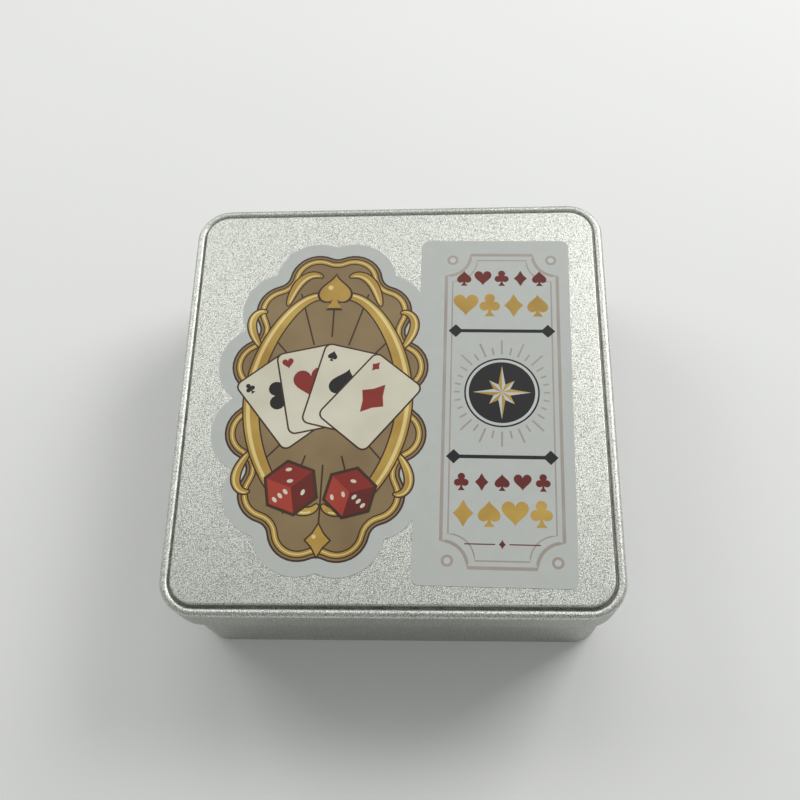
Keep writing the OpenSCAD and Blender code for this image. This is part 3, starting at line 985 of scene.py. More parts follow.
panel_frame(frame_w, frame_h, frame_r, outer_line)
panel_frame(frame_w - 2 * frame_apart, frame_h - 2 * frame_apart, frame_r, inner_line)
for sx in (-1, 1):
    for sy in (-1, 1):
        corner = Vector((panel_x + sx * frame_w / 2, sy * frame_h / 2))
        centre = corner - Vector((sx, sy)) * ring_in
        ink_face("print_taupe", circle(centre, ring_r, ring_steps), 0)
        ink_face("print_label_white", circle(centre, ring_hole_r, ring_steps), 1)
print("panel middle", panel_x)

# %% Rays
disc_at = (panel_x, 2.5)
star = Vector(disc_at)
rays, ray_w, ray_from = 32, 0.5, 10.9
long_ray, short_ray, ray_by_frame, frame_room = 14.6, 12.6, 12.0, 2.6
for k in range(rays):
    a = 2 * math.pi * k / rays
    way = Vector((math.cos(a), math.sin(a)))
    reach = short_ray if k % 2 else long_ray
    if abs(way.x) * reach > frame_w / 2 - frame_room:
        reach = ray_by_frame
    ink_line("print_taupe", [star + way * r for r in (ray_from, reach)], ray_w, 0)
print("rays", rays)

# %% Disc and star
disc_r, disc_steps = 9.6, 96
discs = (("print_black", disc_r), ("print_label_white", disc_r - 0.45), ("print_black", disc_r - 1.15))
for k, (ink, radius) in enumerate(discs):
    ink_face(ink, circle(disc_at, radius, disc_steps), 1 + k)
star_points, long_point, short_point, waist = 8, 7.4, 4.6, 2.3
for k in range(star_points):
    a = math.radians(90 + 360 / star_points * k)
    reach = short_point if k % 2 else long_point
    tip = star + reach * Vector((math.cos(a), math.sin(a)))
    for side, ink in ((1, "print_gold"), (-1, "print_label_white")):
        b = a + side * math.radians(180 / star_points)
        ink_face(ink, [star, tip, star + waist * Vector((math.cos(b), math.sin(b)))], 4)
print("star points", star_points)

# %% Bars and rows of suits
bar_half, bar_h, bar_end = 12.0, 0.95, 1.9
bar_ys = (20.0, -15.0)
for y in bar_ys:
    line = [(-bar_half - bar_end, 0), (-bar_half, -bar_end), (-bar_half + bar_end - bar_h / 2, -bar_h / 2),
            (bar_half - bar_end + bar_h / 2, -bar_h / 2), (bar_half, -bar_end), (bar_half + bar_end, 0)]
    line += [(-x, -y0) for x, y0 in line[1:-1]]
    ink_face("print_black", placed(line, (panel_x, y)), 1)

# Each row is its height on the panel, the size of a suit, its ink, how many suits and their pitch.
rows = [(35.8, 4.6, "print_deep_red", 5, 5.0), (27.6, 6.6, "print_gold", 4, 6.3),
        (-21.6, 4.4, "print_deep_red", 5, 5.0), (-29.6, 6.6, "print_gold", 4, 6.3)]
order = ["spade", "heart", "club", "diamond"]
for n, (y, size, ink, count, pitch) in enumerate(rows):
    for k in range(count):
        suit(order[(k + n) % 4], ink, (panel_x + (k - (count - 1) / 2) * pitch, y), size, 1)
rule_y, rule_from, rule_to, rule_w = -37.2, 1.8, 9, 0.3
for side in (-1, 1):
    ends = sorted((side * rule_from, side * rule_to))
    ink_line("print_deep_red", [(panel_x + x, rule_y) for x in ends], rule_w, 1)
suit("diamond", "print_deep_red", (panel_x, rule_y), 2.2, 1)
print("inks", sorted(inks))

# %% [markdown]
# A sticker is never laid on quite straight, so the print is turned and shifted as the packed
# label is. Each ink becomes one object, with all its faces turned up.

# %% Put the print on the lid
on_lid = Matrix.Translation((0, -label_shift, 0)) @ Matrix.Rotation(math.radians(label_turn), 4, "Z")
prints = []
for name in sorted(inks):
    inks[name].transform(on_lid)
    for face in inks[name].faces:
        face.normal_update()
        if face.normal.z < 0:
            face.normal_flip()
    mesh = bpy.data.meshes.new(name)
    inks[name].to_mesh(mesh)
    inks[name].free()
    prints.append(bpy.data.objects.new(name, mesh))
    bpy.context.scene.collection.objects.link(prints[-1])
print("printed pieces", len(prints), "top", max(v.co.z for p in prints for v in p.data.vertices))

# %% [markdown]
# Every piece is drawn in millimetres up to here. Now each gets smooth shading where the real
# surface is round, is scaled to metres and is told which body it moves with, and the packed node
# it stands for is hidden. The prints are given a thin body of their own, so that they are closed
# shapes as the rest is.

# %% Pieces on their bodies
for sheet_piece in (lid_shell, base_wall, base_panel, hinge_wire, insert):
    shaded(sheet_piece)
shaded(leaflet, 50)
for printed in prints:
    body = printed.modifiers.new("ink body", "SOLIDIFY")
    body.thickness, body.offset = ink_step, -1
    apply_modifiers(printed)

places = [
    (lid_shell, "lid", "lid_shell", "lid_lacquer"),
    (label, "lid", "lid_label", "label_paper"),
    (base_wall, "base", "base_wall", "base_lacquer"),
    (base_panel, "base", "base_panel", "panel_lacquer"),
    (hinge_wire, "base", "hinge_wire", "wire_steel"),
    (insert, "base", "insert_tray", "tray_plastic"),
    (deck, "base", "card_deck", "card_stock"),
    (leaflet, "base", "rules_leaflet", "leaflet_paper"),
]
for piece, body, node_name, slot_name in places:
    to_metres(piece)
    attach(piece, body)
    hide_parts(node_name)
for printed in prints:
    to_metres(printed)
    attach(printed, "lid")
print("pieces on the lid", 2 + len(prints), "on the base", len(places) - 2)

# %% [markdown]
# A finish is a network of shader nodes. A few small helpers keep the networks readable: one adds
# a node and feeds its inputs, and the others are short names for the nodes that are used most.
# Colours are written as they look on a screen, from 0 to 255, and turned into linear light. Noise
# keeps mostly to the middle of its range, so a mask is read from its own usual low value to its
# own usual high value before it drives a roughness.

# %% Node helpers
NOISE_SPAN, MARKS_SPAN = (0.3, 0.7), (0.2, 0.8)


def srgb(r, g, b):
    """Linear colour of a screen colour."""
    return tuple(((c / 255 + 0.055) / 1.055) ** 2.4 for c in (r, g, b)) + (1.0,)


def node(tree, kind, inputs=None, **settings):
    """Adds a shader node and feeds its inputs from values or from other nodes' outputs."""
    made = tree.nodes.new("ShaderNode" + kind)
    for name, value in settings.items():
        setattr(made, name, value)
    for name, value in (inputs or {}).items():
        if isinstance(value, bpy.types.NodeSocket):
            tree.links.new(value, made.inputs[name])
        else:
            made.inputs[name].default_value = value
    return made


def maths(tree, operation, a, b=0.0, clamp=False):
    """Result of an arithmetic node."""
    return node(tree, "Math", {0: a, 1: b}, operation=operation, use_clamp=clamp).outputs[0]


def ranged(tree, value, low, high, to_low=0.0, to_high=1.0):
    """A value mapped from one range to another, and held at its ends."""
    return node(tree, "MapRange", {"Value": value, "From Min": low, "From Max": high,
                                   "To Min": to_low, "To Max": to_high}).outputs["Result"]


def mixed(tree, share, a, b):
    """Two colours mixed by a share."""
    return node(tree, "Mix", {0: share, 6: a, 7: b}, data_type="RGBA").outputs[2]


def noise(tree, place, scale, detail=2.0, roughness=0.5):
    """Smooth noise between 0 and 1, with a scale in bumps a metre."""
    return node(tree, "TexNoise", {"Vector": place, "Scale": scale, "Detail": detail,
                                   "Roughness": roughness}).outputs["Fac"]


def stretched(tree, place, factors):
    """Coordinates scaled by a different factor along each axis."""
    return node(tree, "VectorMath", {0: place, 1: factors}, operation="MULTIPLY").outputs[0]


print("white is", srgb(255, 255, 255)[:3])

# %% [markdown]
# What several finishes share is a node group: a small network with named inputs and outputs,
# built once. A group hands out only masks and values, and the shader stays in each material.

# %% Node group builder
def effect(name, inputs, outputs):
    """A node group, what it takes (a place and some numbers) and what it gives (mostly 0 to 1)."""
    tree = bpy.data.node_groups.new(name, "ShaderNodeTree")
    tree.interface.new_socket("Place", in_out="INPUT", socket_type="NodeSocketVector")
    for socket, value in inputs.items():
        made = tree.interface.new_socket(socket, in_out="INPUT", socket_type="NodeSocketFloat")
        made.default_value = value
    for socket in outputs:
        tree.interface.new_socket(socket, in_out="OUTPUT", socket_type="NodeSocketFloat")
    taken = tree.nodes.new("NodeGroupInput").outputs
    return tree, taken, tree.nodes.new("NodeGroupOutput").inputs


def give(tree, value, socket):
    """Feeds an output of a group."""
    tree.links.new(value, socket)


def use(tree, group, place, **values):
    """Places a group in a material with its own values, and gives its outputs."""
    made = tree.nodes.new("ShaderNodeGroup")
    made.node_tree = group
    tree.links.new(place, made.inputs["Place"])
    for name, value in values.items():
        made.inputs[name.replace("_", " ")].default_value = value
    return made.outputs


print("groups are built next")

# %% [markdown]
# Sand grain: the lacquer is sprayed so that it dries to a fine even grain, and on each grain the
# light falls a little differently. Plain noise has slow clouds in it that real grain has not, so
# the specks of lighter and darker pigment are the cells of a Voronoi texture, which lie evenly,
# and a noise at the same scale makes them a little uneven and gives the height of the grain.

# %% Sand grain
sand_grain, taken, given = effect("sand_grain", {"Scale": 2800.0, "Contrast": 1.0}, ["Height", "Speck"])
ground = noise(sand_grain, taken["Place"], taken["Scale"], detail=2.0, roughness=0.6)
give(sand_grain, ground, given["Height"])
voronoi = node(sand_grain, "TexVoronoi", {"Vector": taken["Place"], "Scale": taken["Scale"]})
LIT, UNEVEN = 0.78, -0.35
uneven = maths(sand_grain, "MULTIPLY", ground, UNEVEN)
speck = maths(sand_grain, "SUBTRACT", LIT, maths(sand_grain, "ADD", voronoi.outputs["Distance"], uneven))
centred = maths(sand_grain, "MULTIPLY", maths(sand_grain, "SUBTRACT", speck, 0.5), taken["Contrast"])
give(sand_grain, maths(sand_grain, "ADD", centred, 0.5, clamp=True), given["Speck"])
print(sand_grain.name, [s.name for s in sand_grain.interface.items_tree])

# %% [markdown]
# Handling: a tin that has been in hands is nowhere evenly matt. Broad soft patches and small
# smudges change the roughness by a few parts in a hundred, which is seen only where light glances
# off. Rubbing: where tins touch each other, on the bead and on the lowest edges, the grain is
# polished. A band by height, broken up by noise, says where.

# %% Handling
handling, taken, given = effect("handling", {"Patch Scale": 45.0, "Smudge Scale": 160.0}, ["Marks"])
patches = noise(handling, taken["Place"], taken["Patch Scale"], detail=3.0, roughness=0.6)
fingers = noise(handling, taken["Place"], taken["Smudge Scale"], detail=4.0, roughness=0.65)
smudges = ranged(handling, fingers, 0.52, 0.7)
PATCH_SHARE, SMUDGE_SHARE = 0.7, 0.3
marks = maths(handling, "ADD", maths(handling, "MULTIPLY", patches, PATCH_SHARE),
              maths(handling, "MULTIPLY", smudges, SMUDGE_SHARE), clamp=True)
give(handling, marks, given["Marks"])
print(handling.name)

# %% Rubbing
rubbing, taken, given = effect("rubbing", {"Height": 0.0, "Reach": 0.0006}, ["Worn"])
height = node(rubbing, "SeparateXYZ", {0: taken["Place"]}).outputs["Z"]
apart = maths(rubbing, "ABSOLUTE", maths(rubbing, "SUBTRACT", height, taken["Height"]))
near = maths(rubbing, "SUBTRACT", 1.0, maths(rubbing, "DIVIDE", apart, taken["Reach"]), clamp=True)
scuffs = noise(rubbing, taken["Place"], 420.0, detail=4.0, roughness=0.7)
broken = ranged(rubbing, scuffs, 0.42, 0.66)
give(rubbing, maths(rubbing, "MULTIPLY", near, broken), given["Worn"])
print(rubbing.name)

# %% [markdown]
# Rolling lines: tinplate and drawn wire carry fine lines along the way they were rolled or drawn.
# Noise squeezed across that way gives them. Paper fibre is two noises, a cloudy one for the
# uneven body of the sheet and a fine one for its tooth. Press ink lies unevenly too: it has a
# slow drift across the sheet and a fine mottle.

# %% Rolling lines
rolling, taken, given = effect("rolling_lines", {"Fineness": 9000.0}, ["Lines"])
along = stretched(rolling, taken["Place"], (0.012, 1.0, 1.0))
give(rolling, noise(rolling, along, taken["Fineness"], detail=3.0, roughness=0.7), given["Lines"])
print(rolling.name)

# %% Paper fibre
scales = {"Cloud Scale": 300.0, "Tooth Scale": 5200.0}
fibre, taken, given = effect("paper_fibre", scales, ["Cloud", "Tooth"])
cloud = noise(fibre, taken["Place"], taken["Cloud Scale"], detail=4.0, roughness=0.6)
lying = stretched(fibre, taken["Place"], (1.0, 0.45, 1.0))
tooth = noise(fibre, lying, taken["Tooth Scale"], detail=3.0, roughness=0.6)
give(fibre, cloud, given["Cloud"])
give(fibre, tooth, given["Tooth"])
print(fibre.name)

# %% Press ink
scales = {"Drift Scale": 70.0, "Mottle Scale": 2600.0}
press_ink, taken, given = effect("press_ink", scales, ["Drift", "Mottle"])
drift = noise(press_ink, taken["Place"], taken["Drift Scale"], detail=2.0, roughness=0.5)
mottle = noise(press_ink, taken["Place"], taken["Mottle Scale"], detail=3.0, roughness=0.6)
give(press_ink, ranged(press_ink, drift, *NOISE_SPAN), given["Drift"])
give(press_ink, mottle, given["Mottle"])
print(press_ink.name)

# %% [markdown]
# Painted shade darkens the groove behind the bead, where the step shades it, and the groove keeps
# one distance from the rounded edge of the lid. The distance of a point to a rectangle with round
# corners is a known formula: fold the plane into one quarter, move by the straight part of each
# side and take the length.

# %% Distance from a rounded edge
sizes = {"Half Width": 0.056, "Half Depth": 0.057, "Radius": 0.0092, "At": 0.0023, "Reach": 0.0005}
# A mask of painted shade along the groove behind the bead, broken up by noise.
groove_shade, taken, given = effect("groove_shade", sizes, ["Dirt"])
spot = node(groove_shade, "SeparateXYZ", {0: taken["Place"]}).outputs
folded = []
for axis, half in (("X", "Half Width"), ("Y", "Half Depth")):
    straight = maths(groove_shade, "SUBTRACT", taken[half], taken["Radius"])
    folded.append(maths(groove_shade, "SUBTRACT", maths(groove_shade, "ABSOLUTE", spot[axis]), straight))
beyond = [maths(groove_shade, "POWER", maths(groove_shade, "MAXIMUM", over, 0.0), 2.0) for over in folded]
corner = maths(groove_shade, "SQRT", maths(groove_shade, "ADD", *beyond))
side = maths(groove_shade, "MINIMUM", maths(groove_shade, "MAXIMUM", *folded), 0.0)
inset = maths(groove_shade, "SUBTRACT", taken["Radius"], maths(groove_shade, "ADD", corner, side))
apart = maths(groove_shade, "ABSOLUTE", maths(groove_shade, "SUBTRACT", inset, taken["At"]))
near = maths(groove_shade, "SUBTRACT", 1.0, maths(groove_shade, "DIVIDE", apart, taken["Reach"]), clamp=True)
shade_breakup = noise(groove_shade, taken["Place"], 260.0, detail=3.0, roughness=0.6)
uneven = ranged(groove_shade, shade_breakup, *NOISE_SPAN, 0.6, 1.0)
give(groove_shade, maths(groove_shade, "MULTIPLY", near, uneven), given["Dirt"])
print(groove_shade.name)

# %% [markdown]
# The back of a card and the leaflet both have a thin frame line. It lies where the distance to a
# rectangle is near zero. The group also says what is within the frame, for the card's lattice.

# %% Printed frame line
sizes = {"Centre X": 0.0, "Centre Y": 0.0, "Half Width": 0.01, "Half Depth": 0.01, "Line": 0.0005}
frame_line, taken, given = effect("frame_line", sizes, ["Line", "Within"])
spot = node(frame_line, "SeparateXYZ", {0: taken["Place"]}).outputs
beyond = []
for axis, centre, half in (("X", "Centre X", "Half Width"), ("Y", "Centre Y", "Half Depth")):
    apart = maths(frame_line, "ABSOLUTE", maths(frame_line, "SUBTRACT", spot[axis], taken[centre]))
    beyond.append(maths(frame_line, "SUBTRACT", apart, taken[half]))
outside = maths(frame_line, "MAXIMUM", beyond[0], beyond[1])
from_line = maths(frame_line, "ABSOLUTE", outside)
give(frame_line, maths(frame_line, "LESS_THAN", from_line, taken["Line"]), given["Line"])
give(frame_line, maths(frame_line, "LESS_THAN", outside, 0.0), given["Within"])
print(frame_line.name)

# %% [markdown]
# The materials follow. Each starts from the same few lines: a Principled shader and the piece's
# own coordinates, which stay with it as the lid turns.

# %% Material start
def finish(name, **constants):
    """A material, its node tree, its shader and the piece's own coordinates in metres."""
    material = bpy.data.materials.new(name)
    material.use_nodes = True
    tree = material.node_tree
    shader = tree.nodes["Principled BSDF"]
    for socket, value in constants.items():
        shader.inputs[socket.replace("_", " ")].default_value = value
    return material, tree, shader, tree.nodes.new("ShaderNodeTexCoord").outputs["Object"]


def feed(tree, shader, **links):
    """Feeds sockets of a shader from the surface's own values."""
    for socket, value in links.items():
        tree.links.new(value, shader.inputs[socket.replace("_", " ")])


def bumped(tree, height, distance, below=None):
    """Normal of a surface whose height varies, in metres of relief."""
    inputs = {"Height": height, "Distance": distance}
    if below:
        inputs["Normal"] = below
    return node(tree, "Bump", inputs).outputs["Normal"]


print("finishes are made of metal, plastic and paper")

# %% [markdown]
# The silver lacquer is metal flake in clear lacquer, so it is fully metallic and rather rough. It
# was put on before the sheet was drawn. The upright walls carry painted shade: their colour is
# made darker than the flat panel's. The piece's own normal tells them apart: it points up on the
# panel and sideways on a wall.

# %% Silver lacquer
# The last colour is the dark of the painted shade in the groove.
LACQUER_DARK, LACQUER_LIGHT, GROOVE_SHADE_COLOUR = srgb(160, 161, 154), srgb(252, 254, 246), srgb(58, 56, 48)
# Painted shade on upright walls: the share of colour they keep, and the uprightness where it ends.
WALL_SHADE_TONE, WALL_TO = 0.75, 0.5
GRAIN_SCALE, GRAIN_CONTRAST, GRAIN_RELIEF = 4400.0, 2.2, 0.00007
LACQUER_SMOOTH, LACQUER_ROUGH, POLISH = 0.4, 0.46, 0.06
# How strongly the painted shade darkens the groove, and how much rougher the lacquer is there.
GROOVE_SHADE_COVER, GROOVE_SHADE_ROUGH = 0.85, 0.2


def lacquer(name, rubbed, groove_at=None):
    """Silver lacquer with painted shade on upright walls and in the groove, rubbed at some heights."""
    material, tree, shader, place = finish(name, Metallic=1.0)
    grain = use(tree, sand_grain, place, Scale=GRAIN_SCALE, Contrast=GRAIN_CONTRAST)
    marks = use(tree, handling, place)["Marks"]
    worn = 0.0
    for z in rubbed:
        worn = maths(tree, "MAXIMUM", use(tree, rubbing, place, Height=z)["Worn"], worn)
    rough = ranged(tree, marks, *MARKS_SPAN, LACQUER_SMOOTH, LACQUER_ROUGH)
    # Painted shade: upright walls are coloured darker than the flat panel.
    facing = tree.nodes.new("ShaderNodeTexCoord").outputs["Normal"]
    upright = maths(tree, "ABSOLUTE", node(tree, "SeparateXYZ", {0: facing}).outputs["Z"])
    tone = ranged(tree, upright, 0.0, WALL_TO, WALL_SHADE_TONE, 1.0)
    speck = mixed(tree, grain["Speck"], LACQUER_DARK, LACQUER_LIGHT)
    colour = stretched(tree, speck, node(tree, "CombineXYZ", {0: tone, 1: tone, 2: tone}).outputs[0])
    # Painted shade in the groove behind the bead, which also makes the lacquer rougher there.
    if groove_at:
        groove_dark = use(tree, groove_shade, place, At=groove_at, Half_Width=tin_w / 2 * MM,
                   Half_Depth=tin_d / 2 * MM, Radius=corner_r * MM)["Dirt"]
        colour = mixed(tree, maths(tree, "MULTIPLY", groove_dark, GROOVE_SHADE_COVER), colour, GROOVE_SHADE_COLOUR)
        rough = maths(tree, "ADD", rough, maths(tree, "MULTIPLY", groove_dark, GROOVE_SHADE_ROUGH))
    feed(tree, shader, Base_Color=colour,
         Roughness=maths(tree, "SUBTRACT", rough, maths(tree, "MULTIPLY", worn, POLISH)),
         Normal=bumped(tree, grain["Height"], GRAIN_RELIEF))
    return material


# The lid's lacquer has the painted shade in its groove.
bead_top = tin_h * MM - panel_rise * MM
lid_finish = lacquer("silver_lacquer_lid", (bead_top, skirt_z * MM), groove_at=groove_c[0] * MM)
base_finish = lacquer("silver_lacquer_base", (0.0, rim_z * MM))
print(lid_finish.name, base_finish.name)

# %% [markdown]
# Inside, the sheet is bare tin, and the wire is zinc-coated. Both are bright metal with fine lines
# along the way they were worked, so one function makes both with their own colour and fineness.

# %% Bare tinplate and zinc wire
LINE_TONE = 0.86


def bright_metal(name, colour, fineness, smooth, rough, relief):
    """Metal with rolling lines and handling marks."""
    material, tree, shader, place = finish(name, Metallic=1.0)
    lines = use(tree, rolling, place, Fineness=fineness)["Lines"]
    marks = use(tree, handling, place, Patch_Scale=30.0, Smudge_Scale=120.0)["Marks"]
    tone = mixed(tree, lines, tuple(LINE_TONE * c for c in colour[:3]) + (1.0,), colour)
    feed(tree, shader, Base_Color=tone, Roughness=ranged(tree, marks, *MARKS_SPAN, smooth, rough),
         Normal=bumped(tree, lines, relief))
    return material


tinplate = bright_metal("bare_tinplate", srgb(214, 213, 206), fineness=9000.0,
                        smooth=0.2, rough=0.32, relief=0.000004)
zinc = bright_metal("zinc_wire", srgb(196, 199, 202), fineness=16000.0,
                    smooth=0.26, rough=0.4, relief=0.000003)
print(tinplate.name, zinc.name)

# %% [markdown]
# The insert is black polystyrene, glossy where the sheet met no mould and with a faint grain. A
# drawn sheet is never quite flat, so a slow wave lies under the grain and bends the highlights.

# %% Black plastic
black_plastic, tree, shader, place = finish("black_polystyrene", Specular_IOR_Level=0.5)
grain = use(tree, sand_grain, place, Scale=4200.0, Contrast=1.6)
marks = use(tree, handling, place, Patch_Scale=60.0, Smudge_Scale=220.0)["Marks"]
feed(tree, shader, Base_Color=mixed(tree, marks, srgb(18, 18, 19), srgb(34, 34, 35)),
     Roughness=ranged(tree, marks, *MARKS_SPAN, 0.24, 0.42),
     Normal=bumped(tree, grain["Height"], 0.000006,
                   bumped(tree, noise(tree, place, 90.0, 2.0), 0.00012)))
print(black_plastic.name)

# %% [markdown]
# Playing cards are coated stock with a linen emboss: two waves that cross give its weave of small
# pillows. Their cut edges are bare, rougher and yellower.

# %% Card stock
LINEN_PITCH, LINEN_RELIEF = 0.6, 0.000006
CARD_WHITE, CARD_SHADE = srgb(236, 232, 220), srgb(222, 216, 200)


def linen(tree, place, pitch):
    """Height of a linen emboss, with so many millimetres from thread to thread."""
    spot = node(tree, "SeparateXYZ", {0: place}).outputs
    waves = [maths(tree, "SINE", maths(tree, "MULTIPLY", spot[axis], 2 * math.pi / (pitch * MM)))
             for axis in ("X", "Y")]
    return maths(tree, "MULTIPLY", waves[0], waves[1])


card_face, tree, shader, place = finish("card_face", Specular_IOR_Level=0.4)
cloud = use(tree, fibre, place)["Cloud"]
feed(tree, shader, Base_Color=mixed(tree, cloud, CARD_SHADE, CARD_WHITE),
     Roughness=ranged(tree, cloud, *NOISE_SPAN, 0.38, 0.48),
     Normal=bumped(tree, linen(tree, place, LINEN_PITCH), LINEN_RELIEF))

card_edge, tree, shader, place = finish("card_edge")
tooth = use(tree, fibre, place, Tooth_Scale=7000.0)["Tooth"]
feed(tree, shader, Base_Color=mixed(tree, tooth, srgb(196, 188, 170), srgb(232, 227, 214)),
     Roughness=ranged(tree, tooth, *NOISE_SPAN, 0.7, 0.85), Normal=bumped(tree, tooth, 0.00002))
print(card_face.name, card_edge.name)

# %% [markdown]
# The back of the top card has a traditional lattice in a frame. It is arithmetic on the place on
# the card: two families of slanted lines are where two sines pass through zero.

# %% Card back
back_inset, lattice_pitch, line_share = 3.0, 4.2, 0.2
card_back, tree, shader, place = finish("card_back", Specular_IOR_Level=0.4)
border = use(tree, frame_line, place, Line=0.0004, Centre_X=card_x * MM,
             Half_Width=(card_w / 2 - back_inset) * MM, Half_Depth=(card_l / 2 - back_inset) * MM)
spot = node(tree, "SeparateXYZ", {0: place}).outputs
lattice = None
for operation in ("ADD", "SUBTRACT"):
    slant = maths(tree, operation, spot["X"], spot["Y"])
    wave = maths(tree, "SINE", maths(tree, "MULTIPLY", slant, math.pi / (lattice_pitch * MM)))
    stripe = maths(tree, "LESS_THAN", maths(tree, "ABSOLUTE", wave), line_share)
    lattice = maths(tree, "MAXIMUM", stripe, lattice) if lattice else stripe
ink = maths(tree, "MAXIMUM", border["Line"], maths(tree, "MULTIPLY", border["Within"], lattice))
mottle = use(tree, press_ink, place)
printed_tone = mixed(tree, mottle["Mottle"], srgb(104, 30, 24), srgb(134, 44, 34))
feed(tree, shader, Base_Color=mixed(tree, ink, CARD_WHITE, printed_tone),
     Roughness=ranged(tree, mottle["Mottle"], *NOISE_SPAN, 0.36, 0.46),
     Normal=bumped(tree, linen(tree, place, LINEN_PITCH), LINEN_RELIEF))
print(card_back.name)

# %% [markdown]
# The leaflet is uncoated paper: nearly white, without a shine, and with a tooth that can be felt.

# %% Leaflet paper
leaf_paper, tree, shader, place = finish("leaflet_stock", Specular_IOR_Level=0.3)
leaf_x = (leaf_low.x + leaf_high.x) / 2
leaf_half, leaf_inset = (leaf_high.y - leaf_low.y) / 2 * MM, 0.002
border = use(tree, frame_line, place, Line=0.0002, Centre_X=leaf_x * MM,
             Half_Width=0.0085, Half_Depth=leaf_half - leaf_inset)
fibres = use(tree, fibre, place)
sheet_tone = mixed(tree, fibres["Cloud"], srgb(226, 225, 218), srgb(242, 241, 236))
feed(tree, shader, Base_Color=mixed(tree, border["Line"], sheet_tone, srgb(96, 40, 30)),
     Roughness=ranged(tree, fibres["Tooth"], *NOISE_SPAN, 0.75, 0.9),
     Normal=bumped(tree, fibres["Tooth"], 0.00001))
print(leaf_paper.name)

# %% [markdown]
# The label is satin paper. Its gloss is what makes it look laid on and not painted: the fibre is
# weak, and the sand grain of the lacquer shows through as a faint ripple. The inks differ only in
# colour and in how much their tone drifts, so one function makes them all.

# %% Label paper
RIPPLE_SCALE, RIPPLE_RELIEF, FIBRE_RELIEF = 1800.0, 0.000006, 0.000002
label_paper, tree, shader, place = finish("satin_label_paper", Specular_IOR_Level=0.35)
fibres = use(tree, fibre, place)
ripple = use(tree, sand_grain, place, Scale=RIPPLE_SCALE)["Height"]
feed(tree, shader, Base_Color=mixed(tree, fibres["Cloud"], srgb(186, 189, 184), srgb(196, 199, 195)),
     Roughness=ranged(tree, fibres["Cloud"], *NOISE_SPAN, 0.42, 0.5),
     Normal=bumped(tree, fibres["Tooth"], FIBRE_RELIEF, bumped(tree, ripple, RIPPLE_RELIEF)))
print(label_paper.name)

# %% Inks
DRIFT_SHARE, MOTTLE_SHARE = 0.75, 0.25
INKS = {
    "print_black": ((16, 15, 15), (26, 25, 25)),
    "print_cream": ((205, 199, 178), (224, 219, 200)),
    "print_deep_red": ((88, 22, 16), (112, 34, 24)),
    "print_gold": ((160, 122, 46), (206, 172, 84)),
    "print_label_white": ((190, 193, 189), (204, 207, 203)),
    "print_light_gold": ((218, 192, 116), (236, 218, 156)),
    "print_light_red": ((160, 52, 38), (178, 66, 48)),
    "print_red": ((128, 34, 26), (150, 44, 34)),
    "print_tan": ((126, 104, 70), (150, 128, 90)),
    "print_taupe": ((158, 148, 138), (176, 168, 160)),
    "print_umber": ((52, 32, 18), (74, 46, 26)),
}


def ink_finish(name, dark, light):
    """Printed ink whose tone drifts slowly and has a fine mottle."""
    material, tree, shader, place = finish(name, Specular_IOR_Level=0.4)
    tones = use(tree, press_ink, place)
    share = maths(tree, "ADD", maths(tree, "MULTIPLY", tones["Drift"], DRIFT_SHARE),
                  maths(tree, "MULTIPLY", tones["Mottle"], MOTTLE_SHARE))
    ripple = use(tree, sand_grain, place, Scale=RIPPLE_SCALE)["Height"]
    feed(tree, shader, Base_Color=mixed(tree, share, srgb(*dark), srgb(*light)),
         Roughness=ranged(tree, tones["Mottle"], *NOISE_SPAN, 0.36, 0.46),
         Normal=bumped(tree, ripple, RIPPLE_RELIEF))
    return material


for printed in prints:
    printed.data.materials.append(ink_finish(printed.name + "_ink", *INKS[printed.name]))
print("inks", len(prints))

# %% [markdown]
# A mesh refers to its materials by slot number, and those numbers were set when the faces were
# made. So the slots are filled in that order, and the list is not cleared first, because clearing
# it would set every face back to the first slot.

# %% Finishes on the pieces
finishes_of = [
    (lid_shell, (lid_finish, tinplate)),
    (base_wall, (base_finish, tinplate)),
    (base_panel, (base_finish, tinplate)),
    (hinge_wire, (zinc,)),
    (insert, (black_plastic,)),
    (deck, (card_face, card_edge, card_back)),
    (leaflet, (leaf_paper,)),
    (label, (label_paper,)),
]
for piece, finishes in finishes_of:
    slots = piece.data.materials
    while len(slots) < len(finishes):
        slots.append(None)
    for k, material in enumerate(finishes):
        slots[k] = material
print("finishes on", len(prints) + len(finishes_of), "pieces")

# %% [markdown]
# The camera stands where the photograph was taken from: its place, the point it looks at and its
# roll were measured from the corners and edges of the tin in the picture. It is close, so the
# tin's far side looks narrower than its near side.

# %% Camera
eye = Vector((16.69, -99.06, 271.39)) * MM
aim = Vector((-1.18, 16.53, 0.0)) * MM
roll = math.radians(-8.46)
camera = bpy.data.objects.new("camera", bpy.data.cameras.new("camera"))
bpy.context.scene.collection.objects.link(camera)
camera.data.sensor_width, camera.data.lens = 36.0, 43.75
camera.data.clip_start = 0.01
camera.location = eye
camera.rotation_mode = "QUATERNION"
camera.rotation_quaternion = (aim - eye).to_track_quat("-Z", "Y") @ Quaternion((0, 0, 1), roll)
bpy.context.scene.camera = camera
print("camera distance", round((aim - eye).length, 3))

# %% [markdown]
# The floor is a wide plain white sheet. It is an ordinary matt surface, so that it shows the soft
# shadow and the metal mirrors it as it is.

# %% Floor
bm = bmesh.new()
floor_half = 2.5
bmesh.ops.create_grid(bm, x_segments=1, y_segments=1, size=floor_half)
mesh = bpy.data.meshes.new("floor")
bm.to_mesh(mesh)
bm.free()
floor = bpy.data.objects.new("floor", mesh)
bpy.context.scene.collection.objects.link(floor)
paper_white, tree, shader, place = finish("floor_paper", Roughness=0.9, Specular_IOR_Level=0.1)
floor_tone = mixed(tree, noise(tree, place, 6.0), srgb(243, 243, 242), srgb(248, 248, 247))
feed(tree, shader, Base_Color=floor_tone)
floor.data.materials.append(paper_white)
print("floor", [round(v, 2) for v in floor.dimensions])

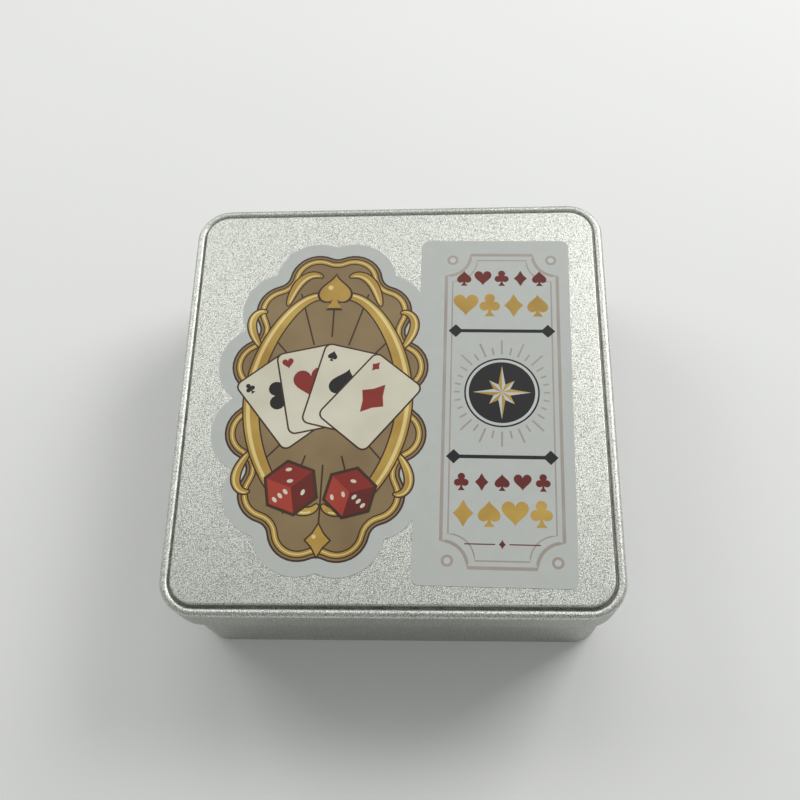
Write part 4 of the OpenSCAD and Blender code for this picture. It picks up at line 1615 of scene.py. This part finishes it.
# %% [markdown]
# The light is a studio's: a weak even dome that is paler at the horizon, and four soft boxes. The
# lid is a flat mirror with a soft lobe, so it shows what is 57 degrees above the back at its far
# edge and what is almost overhead at its near edge. The boxes therefore stand behind the tin and
# low, which leaves the near part of the lid and the front wall darker, as in the photograph.

# %% Dome
world = bpy.data.worlds.new("studio dome")
bpy.context.scene.world = world
world.use_nodes = True
tree = world.node_tree
way = node(tree, "SeparateXYZ", {0: tree.nodes.new("ShaderNodeTexCoord").outputs["Generated"]}).outputs
sky = tree.nodes["Background"]
sky.inputs["Color"].default_value = (0.97, 1.0, 0.985, 1.0)
DOME, HORIZON = 0.33, 0.8
BAND_LOW, BAND_HIGH = 0.04, 0.22
tree.links.new(ranged(tree, way["Z"], BAND_LOW, BAND_HIGH, HORIZON, DOME), sky.inputs["Strength"])
print("dome strength", DOME, "at the horizon", HORIZON)


# %% Soft boxes
def soft_box(name, azimuth, elevation, distance, size, power):
    """A square area lamp aimed at the lid. Azimuth 0 is behind the tin, 90 is to its right."""
    a, e = math.radians(azimuth), math.radians(elevation)
    data = bpy.data.lights.new(name, "AREA")
    data.shape, data.size, data.energy = "SQUARE", size, power
    lamp = bpy.data.objects.new(name, data)
    bpy.context.scene.collection.objects.link(lamp)
    way = Vector((math.sin(a) * math.cos(e), math.cos(a) * math.cos(e), math.sin(e)))
    lamp.location = way * distance + Vector((0, 0, tin_h * MM))
    lamp.rotation_mode = "QUATERNION"
    lamp.rotation_quaternion = (-way).to_track_quat("-Z", "Y")
    return lamp


BOX_AWAY, BOX_SIZE = 0.9, 0.45
# Each box is its name, azimuth, elevation and watts.
BOXES = [("top_box", 0, 70, 0.25), ("back_box", 0, 50, 0.8),
         ("left_box", -50, 38, 1.6), ("right_box", 50, 38, 3.8)]
for name, azimuth, elevation, watts in BOXES:
    print(soft_box(name, azimuth, elevation, BOX_AWAY, BOX_SIZE, watts).name, watts, "W")

# %% [markdown]
# Last, the colours are shown as they are, with no film curve.

# %% View and end
bpy.context.scene.view_settings.view_transform = "Standard"
